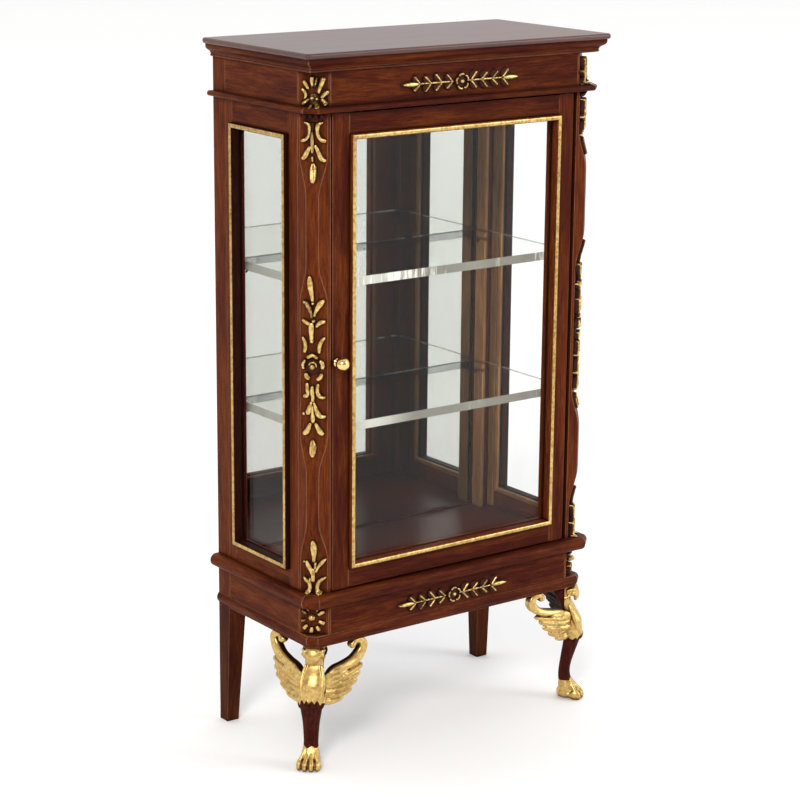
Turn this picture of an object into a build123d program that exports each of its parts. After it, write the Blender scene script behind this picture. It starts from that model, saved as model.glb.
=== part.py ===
"""Miniature glazed display bookcase on carved griffin legs, about 1:12 scale.

Millimetres, +Z up, +X to the right as seen from the front, the front faces -Y.
The origin is under the middle of the whole object, on the surface it stands on.
"""
import os
from math import cos, radians, sin, sqrt

from build123d import *

os.makedirs("parts", exist_ok=True)

# Overall sizes of the case, over the outer faces of the corner posts
width = 80.2
depth = 39.6
height = 165.0
knob_reach = 3.45

side = width / 2
front = knob_reach - (depth + knob_reach) / 2
back = front + depth

# Levels, measured up from the feet
apron_bottom = 29.6
bead_bottom, bead_top = 30.0, 32.4
floor_bottom, floor_top = 39.3, 42.4
ceiling_bottom = 151.7
ceiling_thick = 2.0
string_bottom, string_top = 151.8, 153.0
cornice_bottom = 160.7
slab_bottom = 163.7
slab_overhang = 2.67
post_seat = 0.1

# Corner posts and the width of their carved corner, measured along each face
post = 5.2
leg_plain = 1.6
leg_narrow = 2.0
leg_wide = 4.4
leg_block = 4.7

# Boards and frames
board_thick = 3.0
side_thick = 2.2
back_thick = 1.4
mirror_thick = 0.9
glass_thick = 0.8
glass_depth = 1.05
window_front, window_back = front + 8.8, front + 31.6
window_bottom, window_top = 46.6, 146.6

# Gilt glazing bead: its width and how far it stands in front of the frame
glazing_width = 1.2
glazing_proud = 1.3
glazing_round = 0.5

# Shelves
shelf_thick = 2.0
shelf_tops = {"lower": 80.4, "upper": 113.9}
shelf_side = side - post - 0.1
shelf_wide = side - side_thick - 2.1
shelf_front = front + 3.9
peg_radius = 0.6
peg_length = 2.2
peg_inset = 1.0

# Door, hung on the right on two pins
door_left, door_right = -34.5, 34.2
door_bottom, door_top = 42.7, 151.4
door_thick = 3.0
door_frame = 4.6
hinge_x = door_right - 1.2
hinge_y = front + 1.3
pin_radius = 0.45
pin_clearance = 0.05
pin_in_case = 2.6
pin_in_door = 3.0

# Knob on the free stile
knob_x, knob_z = -33.0, 96.0
knob_ball = 1.55
knob_centre = knob_reach - knob_ball

# Carved gilt pieces
relief = 1.2
mount_relief = 0.9
mount_x = 0.2
frieze_mount_z = 156.7
apron_mount_z = 35.3

diagonal = 1 / sqrt(2)
mirror_front = back - back_thick - mirror_thick


def save(part, label):
    """Label a finished piece and write it to its own file."""
    part.label = label
    export_step(part, "parts/" + label + ".step")
    return part


def board(label, x_range, y_range, z_range):
    """A plain rectangular board between the given faces."""
    with BuildPart() as piece:
        with BuildSketch(Plane.XY.offset(z_range[0])):
            with Locations((sum(x_range) / 2, sum(y_range) / 2)):
                Rectangle(x_range[1] - x_range[0], y_range[1] - y_range[0])
        extrude(amount=z_range[1] - z_range[0])
    return save(piece.part, label)


def both_sides(name, x_inner, x_outer, y_range, z_range):
    """The same board on the left and on the right."""
    board(name + "_left", (-x_outer, -x_inner), y_range, z_range)
    board(name + "_right", (x_inner, x_outer), y_range, z_range)


# ---------------------------------------------------------------- mouldings


def cornice_section():
    """Half-round below, an ogee above it and a fillet under the top board."""
    with BuildSketch() as outline:
        with BuildLine():
            Line((0, cornice_bottom), (0.35, cornice_bottom))
            ThreePointArc((0.35, cornice_bottom), (0.65, cornice_bottom + 0.3), (0.35, cornice_bottom + 0.6))
            Line((0.35, cornice_bottom + 0.6), (0.6, cornice_bottom + 0.6))
            Spline(
                (0.6, cornice_bottom + 0.6),
                (1.25, cornice_bottom + 1.5),
                (1.95, cornice_bottom + 2.5),
                tangents=((0, 1), (0, 1)),
            )
            Polyline((1.95, cornice_bottom + 2.5), (1.95, slab_bottom), (0, slab_bottom), (0, cornice_bottom))
        make_face()
    return outline.sketch


def string_section():
    """A thin fillet with a fully rounded nose."""
    radius = (string_top - string_bottom) / 2
    with BuildSketch() as outline:
        with BuildLine():
            Line((0, string_bottom), (1.06, string_bottom))
            ThreePointArc((1.06, string_bottom), (1.06 + radius, string_bottom + radius), (1.06, string_top))
            Polyline((1.06, string_top), (0, string_top), (0, string_bottom))
        make_face()
    return outline.sketch


def waist_section():
    """A bold torus."""
    radius = (floor_top - floor_bottom) / 2
    flat = 2.34 - radius
    with BuildSketch() as outline:
        with BuildLine():
            Line((0, floor_bottom), (flat, floor_bottom))
            ThreePointArc((flat, floor_bottom), (2.34, floor_bottom + radius), (flat, floor_top))
            Polyline((flat, floor_top), (0, floor_top), (0, floor_bottom))
        make_face()
    return outline.sketch


def base_section():
    """A shallow bead."""
    with BuildSketch() as outline:
        with BuildLine():
            ThreePointArc((0, bead_bottom), (0.6, (bead_bottom + bead_top) / 2), (0, bead_top))
            Line((0, bead_top), (0, bead_bottom))
        make_face()
    return outline.sketch


def swept(section, points, direction, outward):
    """Sweep a moulding section along straight runs with mitred turns."""
    with BuildPart() as run:
        with BuildLine():
            Polyline(*points)
        with BuildSketch(Plane(origin=points[0], x_dir=outward, z_dir=(-direction[0], -direction[1], 0))):
            add(section)
        sweep(transition=Transition.RIGHT)
    return run.part


def moulding(name, section, leg):
    """Front, left and right lengths of a moulding, mitred together at the front corners.

    section is its outline, x outward from the face and y up, and leg is the size of the
    chamfer that it follows round each front corner.
    """
    spare = 4.0
    if leg > 0:
        turn = radians(22.5)
        front_points = (
            (-side - spare, front + leg + spare, 0),
            (-side + leg, front, 0),
            (side - leg, front, 0),
            (side + spare, front + leg + spare, 0),
        )
        front_run = swept(section, front_points, (diagonal, -diagonal), (-diagonal, -diagonal, 0))
    else:
        turn = radians(45)
        front_points = ((-side - spare, front, 0), (side + spare, front, 0))
        front_run = swept(section, front_points, (1, 0), (0, -1, 0))
    left_points = ((-side, back, 0), (-side, front + leg - spare, 0))
    left_run = swept(section, left_points, (0, -1), (-1, 0, 0))
    left_cut = Plane(origin=(-side, front + leg, 0), z_dir=(sin(turn), -cos(turn), 0))
    right_cut = Plane(origin=(side, front + leg, 0), z_dir=(-sin(turn), -cos(turn), 0))
    with BuildPart() as front_piece:
        add(front_run)
        split(bisect_by=left_cut, keep=Keep.TOP)
        split(bisect_by=right_cut, keep=Keep.TOP)
    with BuildPart() as left_piece:
        add(left_run)
        split(bisect_by=left_cut, keep=Keep.BOTTOM)
    with BuildPart() as right_piece:
        mirror(left_piece.part, about=Plane.YZ)
    save(front_piece.part, name + "_front")
    save(left_piece.part, name + "_left")
    save(right_piece.part, name + "_right")


moulding("cornice", cornice_section(), 0)
moulding("string", string_section(), leg_plain)
moulding("waist", waist_section(), leg_plain)
moulding("base_bead", base_section(), leg_plain)

# ---------------------------------------------------------------- top board

with BuildPart() as top_board:
    with BuildSketch(Plane.XY.offset(slab_bottom)):
        with Locations((0, (front - slab_overhang + back) / 2)):
            Rectangle(width + 2 * slab_overhang, depth + slab_overhang)
    extrude(amount=height - slab_bottom)
    fillet(top_board.edges().filter_by(Axis.Z).group_by(Axis.Y)[0], radius=0.7)
    nose = top_board.faces().filter_by(Axis.Z).edges().filter_by_position(Axis.Y, front - 5, back - 0.01)
    fillet(nose, radius=0.55)
save(top_board.part, "top_board")

# ---------------------------------------------------------------- corner posts


def corner_cutter_section():
    """What is cut from a front post's corner: x is the depth along the diagonal, y is the height.

    The chamfer is shallow behind each moulding, wide at the carvings and narrow between them,
    and it changes in long ogee curves.
    """
    plain, narrow, wide, block = (leg * diagonal for leg in (leg_plain, leg_narrow, leg_wide, leg_block))
    up = (0, 1)
    with BuildSketch() as outline:
        with BuildLine():
            Polyline((-1, cornice_bottom - post_seat), (-1, apron_bottom), (plain, apron_bottom), (plain, bead_top))
            Polyline((plain, bead_top), (block, bead_top), (block, floor_bottom), (plain, floor_bottom))
            Polyline((plain, floor_bottom), (plain, floor_top), (wide, floor_top), (wide, 50))
            Spline((wide, 50), (narrow, 60), tangents=(up, up))
            Line((narrow, 60), (narrow, 70))
            Spline((narrow, 70), (wide, 80), tangents=(up, up))
            Line((wide, 80), (wide, 109))
            Spline((wide, 109), (narrow, 119), tangents=(up, up))
            Line((narrow, 119), (narrow, 133))
            Spline((narrow, 133), (wide, 143), tangents=(up, up))
            Polyline((wide, 143), (wide, string_bottom - post_seat), (plain, string_bottom - post_seat))
            Polyline((plain, string_bottom - post_seat), (plain, string_top + post_seat), (block, string_top + post_seat))
            Line((block, string_top + post_seat), (block, cornice_bottom - post_seat))
            Line((block, cornice_bottom - post_seat), (-1, cornice_bottom - post_seat))
        make_face()
    return outline.sketch


corner_cutter = corner_cutter_section()
with BuildPart() as post_front_left:
    with BuildSketch(Plane.XY.offset(apron_bottom)):
        with Locations((-side + post / 2, front + post / 2)):
            Rectangle(post, post)
    extrude(amount=slab_bottom - apron_bottom)
    with BuildSketch(Plane(origin=(-side, front, 0), x_dir=(1, 1, 0), z_dir=(1, -1, 0))):
        add(corner_cutter)
    extrude(amount=post, both=True, mode=Mode.SUBTRACT)
    for shelf_top in shelf_tops.values():
        peg_z = shelf_top - shelf_thick - peg_radius
        with BuildSketch(Plane.YZ.offset(-side + post)):
            with Locations((front + post - 0.8, peg_z)):
                Circle(peg_radius)
        extrude(amount=-(peg_length - peg_inset), mode=Mode.SUBTRACT)
save(post_front_left.part, "post_front_left")

with BuildPart() as post_front_right:
    mirror(post_front_left.part, about=Plane.YZ)
save(post_front_right.part, "post_front_right")

rear_foot = 3.2
rear_knee = 4.7
with BuildPart() as post_rear_left:
    with BuildSketch(Plane.XY.offset(apron_bottom)):
        with Locations((-side + post / 2, back - post / 2)):
            Rectangle(post, post)
    extrude(amount=slab_bottom - apron_bottom)
    with BuildSketch(Plane.XY):
        with Locations((-side + rear_foot / 2, back - rear_foot / 2)):
            Rectangle(rear_foot, rear_foot)
    with BuildSketch(Plane.XY.offset(apron_bottom)):
        with Locations((-side + rear_knee / 2, back - rear_knee / 2)):
            Rectangle(rear_knee, rear_knee)
    loft()
    for shelf_top in shelf_tops.values():
        peg_z = shelf_top - shelf_thick - peg_radius
        with BuildSketch(Plane.YZ.offset(-side + post)):
            with Locations((back - post + 1.0, peg_z)):
                Circle(peg_radius)
        extrude(amount=-(peg_length - peg_inset), mode=Mode.SUBTRACT)
save(post_rear_left.part, "post_rear_left")

with BuildPart() as post_rear_right:
    mirror(post_rear_left.part, about=Plane.YZ)
save(post_rear_right.part, "post_rear_right")

# ---------------------------------------------------------------- case boards

between_posts = (-side + post, side - post)
along_side = (front + post, back - post)

with BuildPart() as floor_board:
    with BuildSketch(Plane.XY.offset(floor_bottom)):
        with Locations((0, (front + back) / 2)):
            Rectangle(width - 2 * post, depth)
            Rectangle(width, depth - 2 * post)
    extrude(amount=floor_top - floor_bottom)
    with BuildSketch(Plane.XY.offset(floor_top)):
        with Locations((hinge_x, hinge_y)):
            Circle(pin_radius)
    extrude(amount=-pin_in_case, mode=Mode.SUBTRACT)
save(floor_board.part, "floor_board")

with BuildPart() as ceiling_board:
    with BuildSketch(Plane.XY.offset(ceiling_bottom)):
        with Locations((0, (front + board_thick + back - back_thick) / 2)):
            Rectangle(width - 2 * post, depth - board_thick - back_thick)
        with Locations((0, (front + back) / 2)):
            Rectangle(width - 2 * board_thick, depth - 2 * post)
    extrude(amount=ceiling_thick)
save(ceiling_board.part, "ceiling_board")

with BuildPart() as frieze_front:
    with BuildSketch(Plane.XY.offset(ceiling_bottom)):
        with Locations((0, front + board_thick / 2)):
            Rectangle(width - 2 * post, board_thick)
    extrude(amount=slab_bottom - ceiling_bottom)
    with BuildSketch(Plane.XY.offset(ceiling_bottom)):
        with Locations((hinge_x, hinge_y)):
            Circle(pin_radius)
    extrude(amount=pin_in_case, mode=Mode.SUBTRACT)
save(frieze_front.part, "frieze_front")

both_sides("frieze", side - board_thick, side, along_side, (ceiling_bottom, slab_bottom))
board("apron_front", between_posts, (front, front + board_thick), (apron_bottom, floor_bottom))
board("apron_back", between_posts, (back - board_thick, back), (apron_bottom, floor_bottom))
both_sides("apron", side - board_thick, side, along_side, (apron_bottom, floor_bottom))
board("back_board", between_posts, (back - back_thick, back), (floor_top, slab_bottom))
board("mirror", between_posts, (mirror_front, back - back_thick), (floor_top, ceiling_bottom))

# ---------------------------------------------------------------- glazed sides

side_inner = side - side_thick
both_sides("side_stile_front", side_inner, side, (front + post, window_front), (floor_top, ceiling_bottom))
both_sides("side_stile_rear", side_inner, side, (window_back, back - post), (floor_top, ceiling_bottom))
both_sides("side_rail_top", side_inner, side, (window_front, window_back), (window_top, ceiling_bottom))
both_sides("side_rail_bottom", side_inner, side, (window_front, window_back), (floor_top, window_bottom))
pane_range = (side - glass_depth - glass_thick, side - glass_depth)
both_sides("side_glass", *pane_range, (window_front, window_back), (window_bottom, window_top))


def glazing_bead(plane, wide, tall):
    """A mitred bead round an opening, standing proud of the frame with a rounded nose.

    plane lies on the glass, in the middle of the opening, and faces outward.
    """
    with BuildPart() as bead:
        with BuildSketch(plane):
            Rectangle(wide, tall)
            Rectangle(wide - 2 * glazing_width, tall - 2 * glazing_width, mode=Mode.SUBTRACT)
        extrude(amount=glass_depth + glazing_proud)
        nose_face = bead.faces().sort_by(Axis(plane.origin, plane.z_dir))[-1]
        fillet(nose_face.edges(), radius=glazing_round)
    return bead.part


window_middle = ((window_front + window_back) / 2, (window_bottom + window_top) / 2)
left_pane = Plane(origin=(-side + glass_depth, *window_middle), x_dir=(0, -1, 0), z_dir=(-1, 0, 0))
side_bead_left = glazing_bead(left_pane, window_back - window_front, window_top - window_bottom)
save(side_bead_left, "side_bead_left")
with BuildPart() as side_bead_right:
    mirror(side_bead_left, about=Plane.YZ)
save(side_bead_right.part, "side_bead_right")

# ---------------------------------------------------------------- shelves

for shelf_name, shelf_top in shelf_tops.items():
    with BuildPart() as shelf:
        with BuildSketch(Plane.XY.offset(shelf_top - shelf_thick)):
            with Locations((0, (shelf_front + mirror_front) / 2)):
                Rectangle(2 * shelf_side, mirror_front - shelf_front)
            with Locations((0, (front + back) / 2)):
                Rectangle(2 * shelf_wide, depth - 2 * post - 0.2)
        extrude(amount=shelf_thick)
    save(shelf.part, "shelf_" + shelf_name)

with BuildPart() as shelf_pegs:
    for shelf_top in shelf_tops.values():
        peg_z = shelf_top - shelf_thick - peg_radius
        for peg_y in (front + post - 0.8, back - post + 1.0):
            with BuildSketch(Plane.YZ.offset(side - post - peg_inset)):
                with Locations((peg_y, peg_z)):
                    Circle(peg_radius)
            extrude(amount=peg_length)
    mirror(about=Plane.YZ)
save(shelf_pegs.part, "shelf_pegs")

# ---------------------------------------------------------------- front legs

# The leg's own frame: x runs outward along the diagonal, y is up, and its origin is the middle
# of the base bead's corner facet, at floor level.
leg_corner = side + 0.6 - leg_plain / 2
leg_plane = Plane(
    origin=(leg_corner, front - 0.6 + leg_plain / 2, 0),
    x_dir=(1, -1, 0),
    z_dir=(-1, -1, 0),
)
leg_facing = Plane(origin=leg_plane.origin, x_dir=(1, 1, 0), z_dir=(1, -1, 0))

with BuildPart() as front_leg_right:
    with BuildSketch(leg_plane):
        with BuildLine():
            Spline((0.2, apron_bottom), (0.6, 27), (-1.5, 25), (1.4, 19), (0.1, 13.8), (-1.9, 7.5), (-1.5, 4.8))
            Spline((-1.5, 4.8), (0.6, 3.4), (1.4, 1.3), (1.1, 0))
            Line((1.1, 0), (-4.8, 0))
            Spline((-4.8, 0), (-5.0, 2.2), (-4.6, 7), (-4.2, 10.5), (-3.1, 15.8), (-4.2, 22), (-4.2, apron_bottom))
            Line((-4.2, apron_bottom), (0.2, apron_bottom))
        make_face()
    extrude(amount=4, both=True)
    with BuildSketch(leg_facing) as leg_width:
        with BuildLine():
            Spline((3.0, apron_bottom), (3.1, 27), (2.3, 25), (2.9, 19), (2.2, 11), (1.7, 5.4), (2.9, 1.8), (2.7, 0))
            Line((2.7, 0), (0, 0))
            Line((0, 0), (0, apron_bottom))
            Line((0, apron_bottom), (3.0, apron_bottom))
        make_face()
        mirror(about=Plane.YZ)
    extrude(leg_width.sketch, amount=10, both=True, mode=Mode.INTERSECT)
save(front_leg_right.part, "front_leg_right")

with BuildPart() as front_leg_left:
    mirror(front_leg_right.part, about=Plane.YZ)
save(front_leg_left.part, "front_leg_left")

# Wings: flat plates along the front and along the side, which rise from the chest and curl
# over under the apron. In the wing's own frame x runs from the corner along the apron.
wing_thick = 1.2
wing_root = side - 2.6
wing_setback = 1.0


def wing_outline():
    """A tapering wing that sweeps up from the chest and ends in a scroll."""
    with BuildSketch() as outline:
        with BuildLine():
            Spline((0.5, 15.6), (6.0, 17.0), (11.2, 21.6), (12.6, 26.0), (12.2, 29.0))
            ThreePointArc((12.2, 29.0), (11.2, apron_bottom), (9.9, 28.4))
            Spline((9.9, 28.4), (9.2, 26.4), (9.4, 24.6), (7.6, 22.4), (4.0, 21.2), (0.5, 21.4))
            Line((0.5, 21.4), (0.5, 15.6))
        make_face()
    return outline.sketch


wing = wing_outline()
with BuildPart() as wings_right:
    with BuildSketch(Plane(origin=(wing_root, front + wing_setback, 0), x_dir=(-1, 0, 0), z_dir=(0, 1, 0))):
        add(wing)
    extrude(amount=wing_thick)
    side_root = front + side - wing_root
    with BuildSketch(Plane(origin=(side - wing_setback, side_root, 0), x_dir=(0, 1, 0), z_dir=(1, 0, 0))):
        add(wing)
    extrude(amount=-wing_thick)
    add(front_leg_right.part, mode=Mode.SUBTRACT)
save(wings_right.part, "wings_right")

with BuildPart() as wings_left:
    mirror(wings_right.part, about=Plane.YZ)
save(wings_left.part, "wings_left")

# ---------------------------------------------------------------- gilt mounts


def leaf_mount(label, centre_z, half_length, pairs):
    """A horizontal mount: a flower, a row of leaf pairs on each side and pointed buds."""
    with BuildPart() as mount:
        plane = Plane(origin=(mount_x, front, centre_z), x_dir=(1, 0, 0), z_dir=(0, -1, 0))
        with BuildSketch(plane):
            Circle(2.0)
            Rectangle(2 * half_length - 6, 1.0)
            bud_length = 4.4
            for hand in (-1, 1):
                with Locations((hand * (half_length - bud_length / 2), 0)):
                    Ellipse(bud_length / 2, 0.75)
            step = (half_length - bud_length - 3.0) / pairs
            for index in range(pairs):
                for hand in (-1, 1):
                    for tilt in (-1, 1):
                        leaf_x = hand * (3.4 + index * step)
                        with Locations(Location((leaf_x, tilt * 1.1), -hand * tilt * 55)):
                            Ellipse(1.5, 0.6)
        extrude(amount=mount_relief)
    save(mount.part, label)


leaf_mount("frieze_mount", frieze_mount_z, 17.3, 4)
leaf_mount("apron_mount", apron_mount_z, 16.3, 4)

block_depth = leg_block * diagonal
wide_depth = leg_wide * diagonal


def facet_plane(depth_in, z):
    """The plane of the right post's chamfer at a depth from the original corner."""
    inset = depth_in * diagonal
    return Plane(origin=(side - inset, front + inset, z), x_dir=(1, 1, 0), z_dir=(1, -1, 0))


def leaf(x, y, angle, long, short):
    """One leaf of a spray, drawn as an ellipse on both sides of the stem."""
    for hand in (-1, 1):
        with Locations(Location((hand * x, y), hand * angle)):
            Ellipse(long, short)


with BuildPart() as post_carving_right:
    # Shell of seven petals on the frieze block
    with BuildSketch(facet_plane(block_depth, 154.6)):
        Circle(1.0)
        for petal in range(7):
            turn = -78 + petal * 26
            with Locations(Location((1.9 * sin(radians(turn)), 0.6 + 1.9 * cos(radians(turn))), -turn)):
                Ellipse(0.6, 1.9)
    extrude(amount=relief)
    # Rosette and petals on the apron block
    with BuildSketch(facet_plane(block_depth, 36.0)):
        Circle(1.2)
        Rectangle(1.0, 4.6)
        leaf(1.6, 0.4, 0, 1.0, 1.5)
        leaf(1.0, -1.9, 25, 0.7, 1.2)
    extrude(amount=relief)
    # Top spray, hanging from the string moulding
    with BuildSketch(facet_plane(wide_depth, 0)):
        with Locations((0, 144.6)):
            Rectangle(0.9, 9.4)
        with Locations((0, 139.2)):
            Ellipse(0.8, 2.6)
        leaf(1.3, 147.0, 20, 0.6, 2.2)
        leaf(1.3, 142.6, 30, 0.6, 2.0)
    extrude(amount=relief)
    # Middle spray round a rosette
    with BuildSketch(facet_plane(wide_depth, 0)):
        with Locations((0, 95.4)):
            Rectangle(0.9, 33)
            Circle(1.9)
        for bud_z in (113.2, 77.6):
            with Locations((0, bud_z)):
                Ellipse(0.7, 2.7)
        for leaf_z, lean in ((109.4, -30), (104.8, -35), (100.6, -20), (91.6, 25), (87.8, 30), (83.6, 35)):
            leaf(1.1, leaf_z, lean, 0.6, 2.0)
    extrude(amount=relief)
    # Bottom spray, rising from the waist moulding
    with BuildSketch(facet_plane(wide_depth, 0)):
        with Locations((0, 48.6)):
            Rectangle(0.9, 10)
        with Locations((0, 53.4)):
            Ellipse(0.7, 1.7)
        leaf(1.1, 50.6, -30, 0.6, 1.6)
        leaf(1.3, 45.2, -20, 0.6, 2.2)
    extrude(amount=relief)
    add(post_front_right.part, mode=Mode.SUBTRACT)
save(post_carving_right.part, "post_carving_right")

with BuildPart() as post_carving_left:
    mirror(post_carving_right.part, about=Plane.YZ)
save(post_carving_left.part, "post_carving_left")

# ---------------------------------------------------------------- door

opening_left, opening_right = door_left + door_frame, door_right - door_frame
opening_bottom, opening_top = door_bottom + door_frame, door_top - door_frame
door_y = (front, front + door_thick)

with BuildPart() as door_stile_hinge:
    with BuildSketch(Plane.XY.offset(door_bottom)):
        with Locations(((opening_right + door_right) / 2, front + door_thick / 2)):
            Rectangle(door_frame, door_thick)
    extrude(amount=door_top - door_bottom)
    outer_edge = door_stile_hinge.edges().filter_by(Axis.Z).group_by(Axis.X)[-1].sort_by(Axis.Y)[0]
    fillet(outer_edge, radius=0.6)
    for bore_z, bore_way in ((door_bottom, 1), (door_top, -1)):
        with BuildSketch(Plane.XY.offset(bore_z)):
            with Locations((hinge_x, hinge_y)):
                Circle(pin_radius + pin_clearance)
        extrude(amount=bore_way * (pin_in_door + 0.3), mode=Mode.SUBTRACT)
save(door_stile_hinge.part, "door_stile_hinge")

spigot_radius = 0.5
spigot_length = 2.0
with BuildPart() as door_stile_knob:
    with BuildSketch(Plane.XY.offset(door_bottom)):
        with Locations(((door_left + opening_left) / 2, front + door_thick / 2)):
            Rectangle(door_frame, door_thick)
    extrude(amount=door_top - door_bottom)
    with BuildSketch(Plane(origin=(knob_x, front, knob_z), x_dir=(1, 0, 0), z_dir=(0, -1, 0))):
        Circle(spigot_radius)
    extrude(amount=-spigot_length, mode=Mode.SUBTRACT)
save(door_stile_knob.part, "door_stile_knob")

board("door_rail_top", (opening_left, opening_right), door_y, (opening_top, door_top))
board("door_rail_bottom", (opening_left, opening_right), door_y, (door_bottom, opening_bottom))

glass_front = front + glass_depth
board(
    "door_glass",
    (opening_left, opening_right),
    (glass_front, glass_front + glass_thick),
    (opening_bottom, opening_top),
)
door_pane = Plane(
    origin=((opening_left + opening_right) / 2, glass_front, (opening_bottom + opening_top) / 2),
    x_dir=(1, 0, 0),
    z_dir=(0, -1, 0),
)
save(glazing_bead(door_pane, opening_right - opening_left, opening_top - opening_bottom), "door_bead")

# Turned knob: a ball on a short neck, with a spigot glued into the stile
neck_radius = 0.75
ball_back = knob_centre - sqrt(knob_ball**2 - neck_radius**2)
with BuildPart() as knob:
    with BuildSketch(Plane(origin=(knob_x, front, knob_z), x_dir=(1, 0, 0), z_dir=(0, 0, 1))):
        with BuildLine():
            Polyline((0, -knob_reach), (0, spigot_length), (spigot_radius, spigot_length), (spigot_radius, 0))
            Polyline((spigot_radius, 0), (1.0, 0), (neck_radius, -0.3), (neck_radius, -ball_back))
            ThreePointArc((neck_radius, -ball_back), (knob_ball, -knob_centre), (0, -knob_reach))
        make_face()
    revolve(axis=Axis((knob_x, front, knob_z), (0, 1, 0)))
save(knob.part, "knob")

# Hinge pins, fixed in the case and free to turn in the stile
with BuildPart() as hinge_pins:
    with BuildSketch(Plane.XY.offset(floor_top - pin_in_case)):
        with Locations((hinge_x, hinge_y)):
            Circle(pin_radius)
    extrude(amount=pin_in_case + door_bottom - floor_top + pin_in_door)
    with BuildSketch(Plane.XY.offset(door_top - pin_in_door)):
        with Locations((hinge_x, hinge_y)):
            Circle(pin_radius)
    extrude(amount=pin_in_case + ceiling_bottom - door_top + pin_in_door)
save(hinge_pins.part, "hinge_pins")
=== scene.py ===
"""Looks of the miniature glazed bookcase: carved gilt ornament, griffin legs and all materials.

Lengths are in metres, in the frame of the CAD, unless a comment says mm. MM turns millimetres into metres.
"""
import math

import bmesh
import bpy
from mathutils import Matrix, Vector
from mathutils.bvhtree import BVHTree


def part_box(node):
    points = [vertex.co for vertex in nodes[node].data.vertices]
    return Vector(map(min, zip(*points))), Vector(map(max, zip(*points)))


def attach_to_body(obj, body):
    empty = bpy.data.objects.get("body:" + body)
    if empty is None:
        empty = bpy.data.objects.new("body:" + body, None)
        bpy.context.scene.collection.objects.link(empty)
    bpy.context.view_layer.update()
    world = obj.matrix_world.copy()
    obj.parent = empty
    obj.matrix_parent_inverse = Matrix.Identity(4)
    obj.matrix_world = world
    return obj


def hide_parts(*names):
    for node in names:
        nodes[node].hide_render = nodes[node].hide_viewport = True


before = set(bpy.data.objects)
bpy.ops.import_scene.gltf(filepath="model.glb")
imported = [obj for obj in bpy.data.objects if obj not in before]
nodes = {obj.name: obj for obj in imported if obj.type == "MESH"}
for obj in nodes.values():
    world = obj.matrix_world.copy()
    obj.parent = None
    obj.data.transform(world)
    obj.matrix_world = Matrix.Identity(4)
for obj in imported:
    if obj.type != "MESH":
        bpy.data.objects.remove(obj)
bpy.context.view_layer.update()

MM = 0.001
PER_MM = 1000.0
HANDS = (("left", -1), ("right", 1))

# ---- places taken from the frame
post_lo, post_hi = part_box("post_front_right")
side = post_hi.x
front = post_lo.y
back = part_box("post_rear_right")[1].y


def show(name, data):
    """A new object with the data, in the scene."""
    made = bpy.data.objects.new(name, data)
    bpy.context.scene.collection.objects.link(made)
    return made


# ---- camera
CAMERA_AZIMUTH = 36.167
CAMERA_ELEVATION = 14.666
CAMERA_ROLL = 0.42
CAMERA_DISTANCE = 561.4 * MM
CAMERA_LENS = 106.06
CAMERA_SENSOR = 36
CAMERA_SHIFT = (0.0127, 0.0131)
CAMERA_CLIP = (0.01, 50)
TARGET_LEFT_OF_MIDDLE = 4.04 * MM
TARGET_HEIGHT = 76.42 * MM


def make_camera():
    azimuth = math.radians(CAMERA_AZIMUTH)
    elevation = math.radians(CAMERA_ELEVATION)
    roll = math.radians(CAMERA_ROLL)
    level = Vector((-math.sin(azimuth), -math.cos(azimuth), 0))
    away = level * math.cos(elevation) + Vector((0, 0, math.sin(elevation)))
    level_right = (-away).cross(Vector((0, 0, 1))).normalized()
    level_up = level_right.cross(-away)
    right = level_right * math.cos(roll) + level_up * math.sin(roll)
    up = level_up * math.cos(roll) - level_right * math.sin(roll)
    target = Vector((-TARGET_LEFT_OF_MIDDLE, (front + back) / 2, TARGET_HEIGHT))
    data = bpy.data.cameras.new("camera")
    data.lens = CAMERA_LENS
    data.sensor_width = CAMERA_SENSOR
    data.shift_x, data.shift_y = CAMERA_SHIFT
    data.clip_start, data.clip_end = CAMERA_CLIP
    camera = show("camera", data)
    turn = Matrix((right, up, away)).transposed().to_4x4()
    camera.matrix_world = Matrix.Translation(target + away * CAMERA_DISTANCE) @ turn
    bpy.context.scene.camera = camera


make_camera()


# ---- shader helpers
def add(tree, kind, inputs=(), **settings):
    """A new shader node, with its settings made and its inputs linked or set."""
    made = tree.nodes.new("ShaderNode" + kind)
    for key, value in settings.items():
        setattr(made, key, value)
    for key, value in dict(inputs).items():
        if isinstance(value, bpy.types.NodeSocket):
            tree.links.new(value, made.inputs[key])
        else:
            made.inputs[key].default_value = value
    return made


def calc(tree, operation, first, second=0.0):
    return add(tree, "Math", {0: first, 1: second}, operation=operation).outputs[0]


def times(tree, first, second):
    return calc(tree, "MULTIPLY", first, second)


def plus(tree, first, second):
    return calc(tree, "ADD", first, second)


def scaled(tree, vector, factors):
    """The vector with each axis scaled by its factor."""
    return add(tree, "VectorMath", {0: vector, 1: factors}, operation="MULTIPLY").outputs[0]


def split(tree, vector):
    """The three parts of a vector."""
    return add(tree, "SeparateXYZ", {0: vector}).outputs


def facing_of(tree):
    """The three parts of the way that the surface faces."""
    return split(tree, add(tree, "TexCoord").outputs["Normal"])


def place_mm(tree):
    """The place on the piece, in millimetres."""
    return scaled(tree, add(tree, "TexCoord").outputs["Object"], (PER_MM, PER_MM, PER_MM))


def noise(tree, vector, scale, detail=3.0, roughness=0.55, distortion=0.0):
    inputs = {"Vector": vector, "Scale": scale, "Detail": detail}
    inputs.update({"Roughness": roughness, "Distortion": distortion})
    return add(tree, "TexNoise", inputs).outputs[0]


def step(tree, value, low, high):
    """0 below low, 1 above high, smooth between."""
    inputs = {"Value": value, "From Min": low, "From Max": high}
    return add(tree, "MapRange", inputs, interpolation_type="SMOOTHSTEP").outputs[0]


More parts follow.
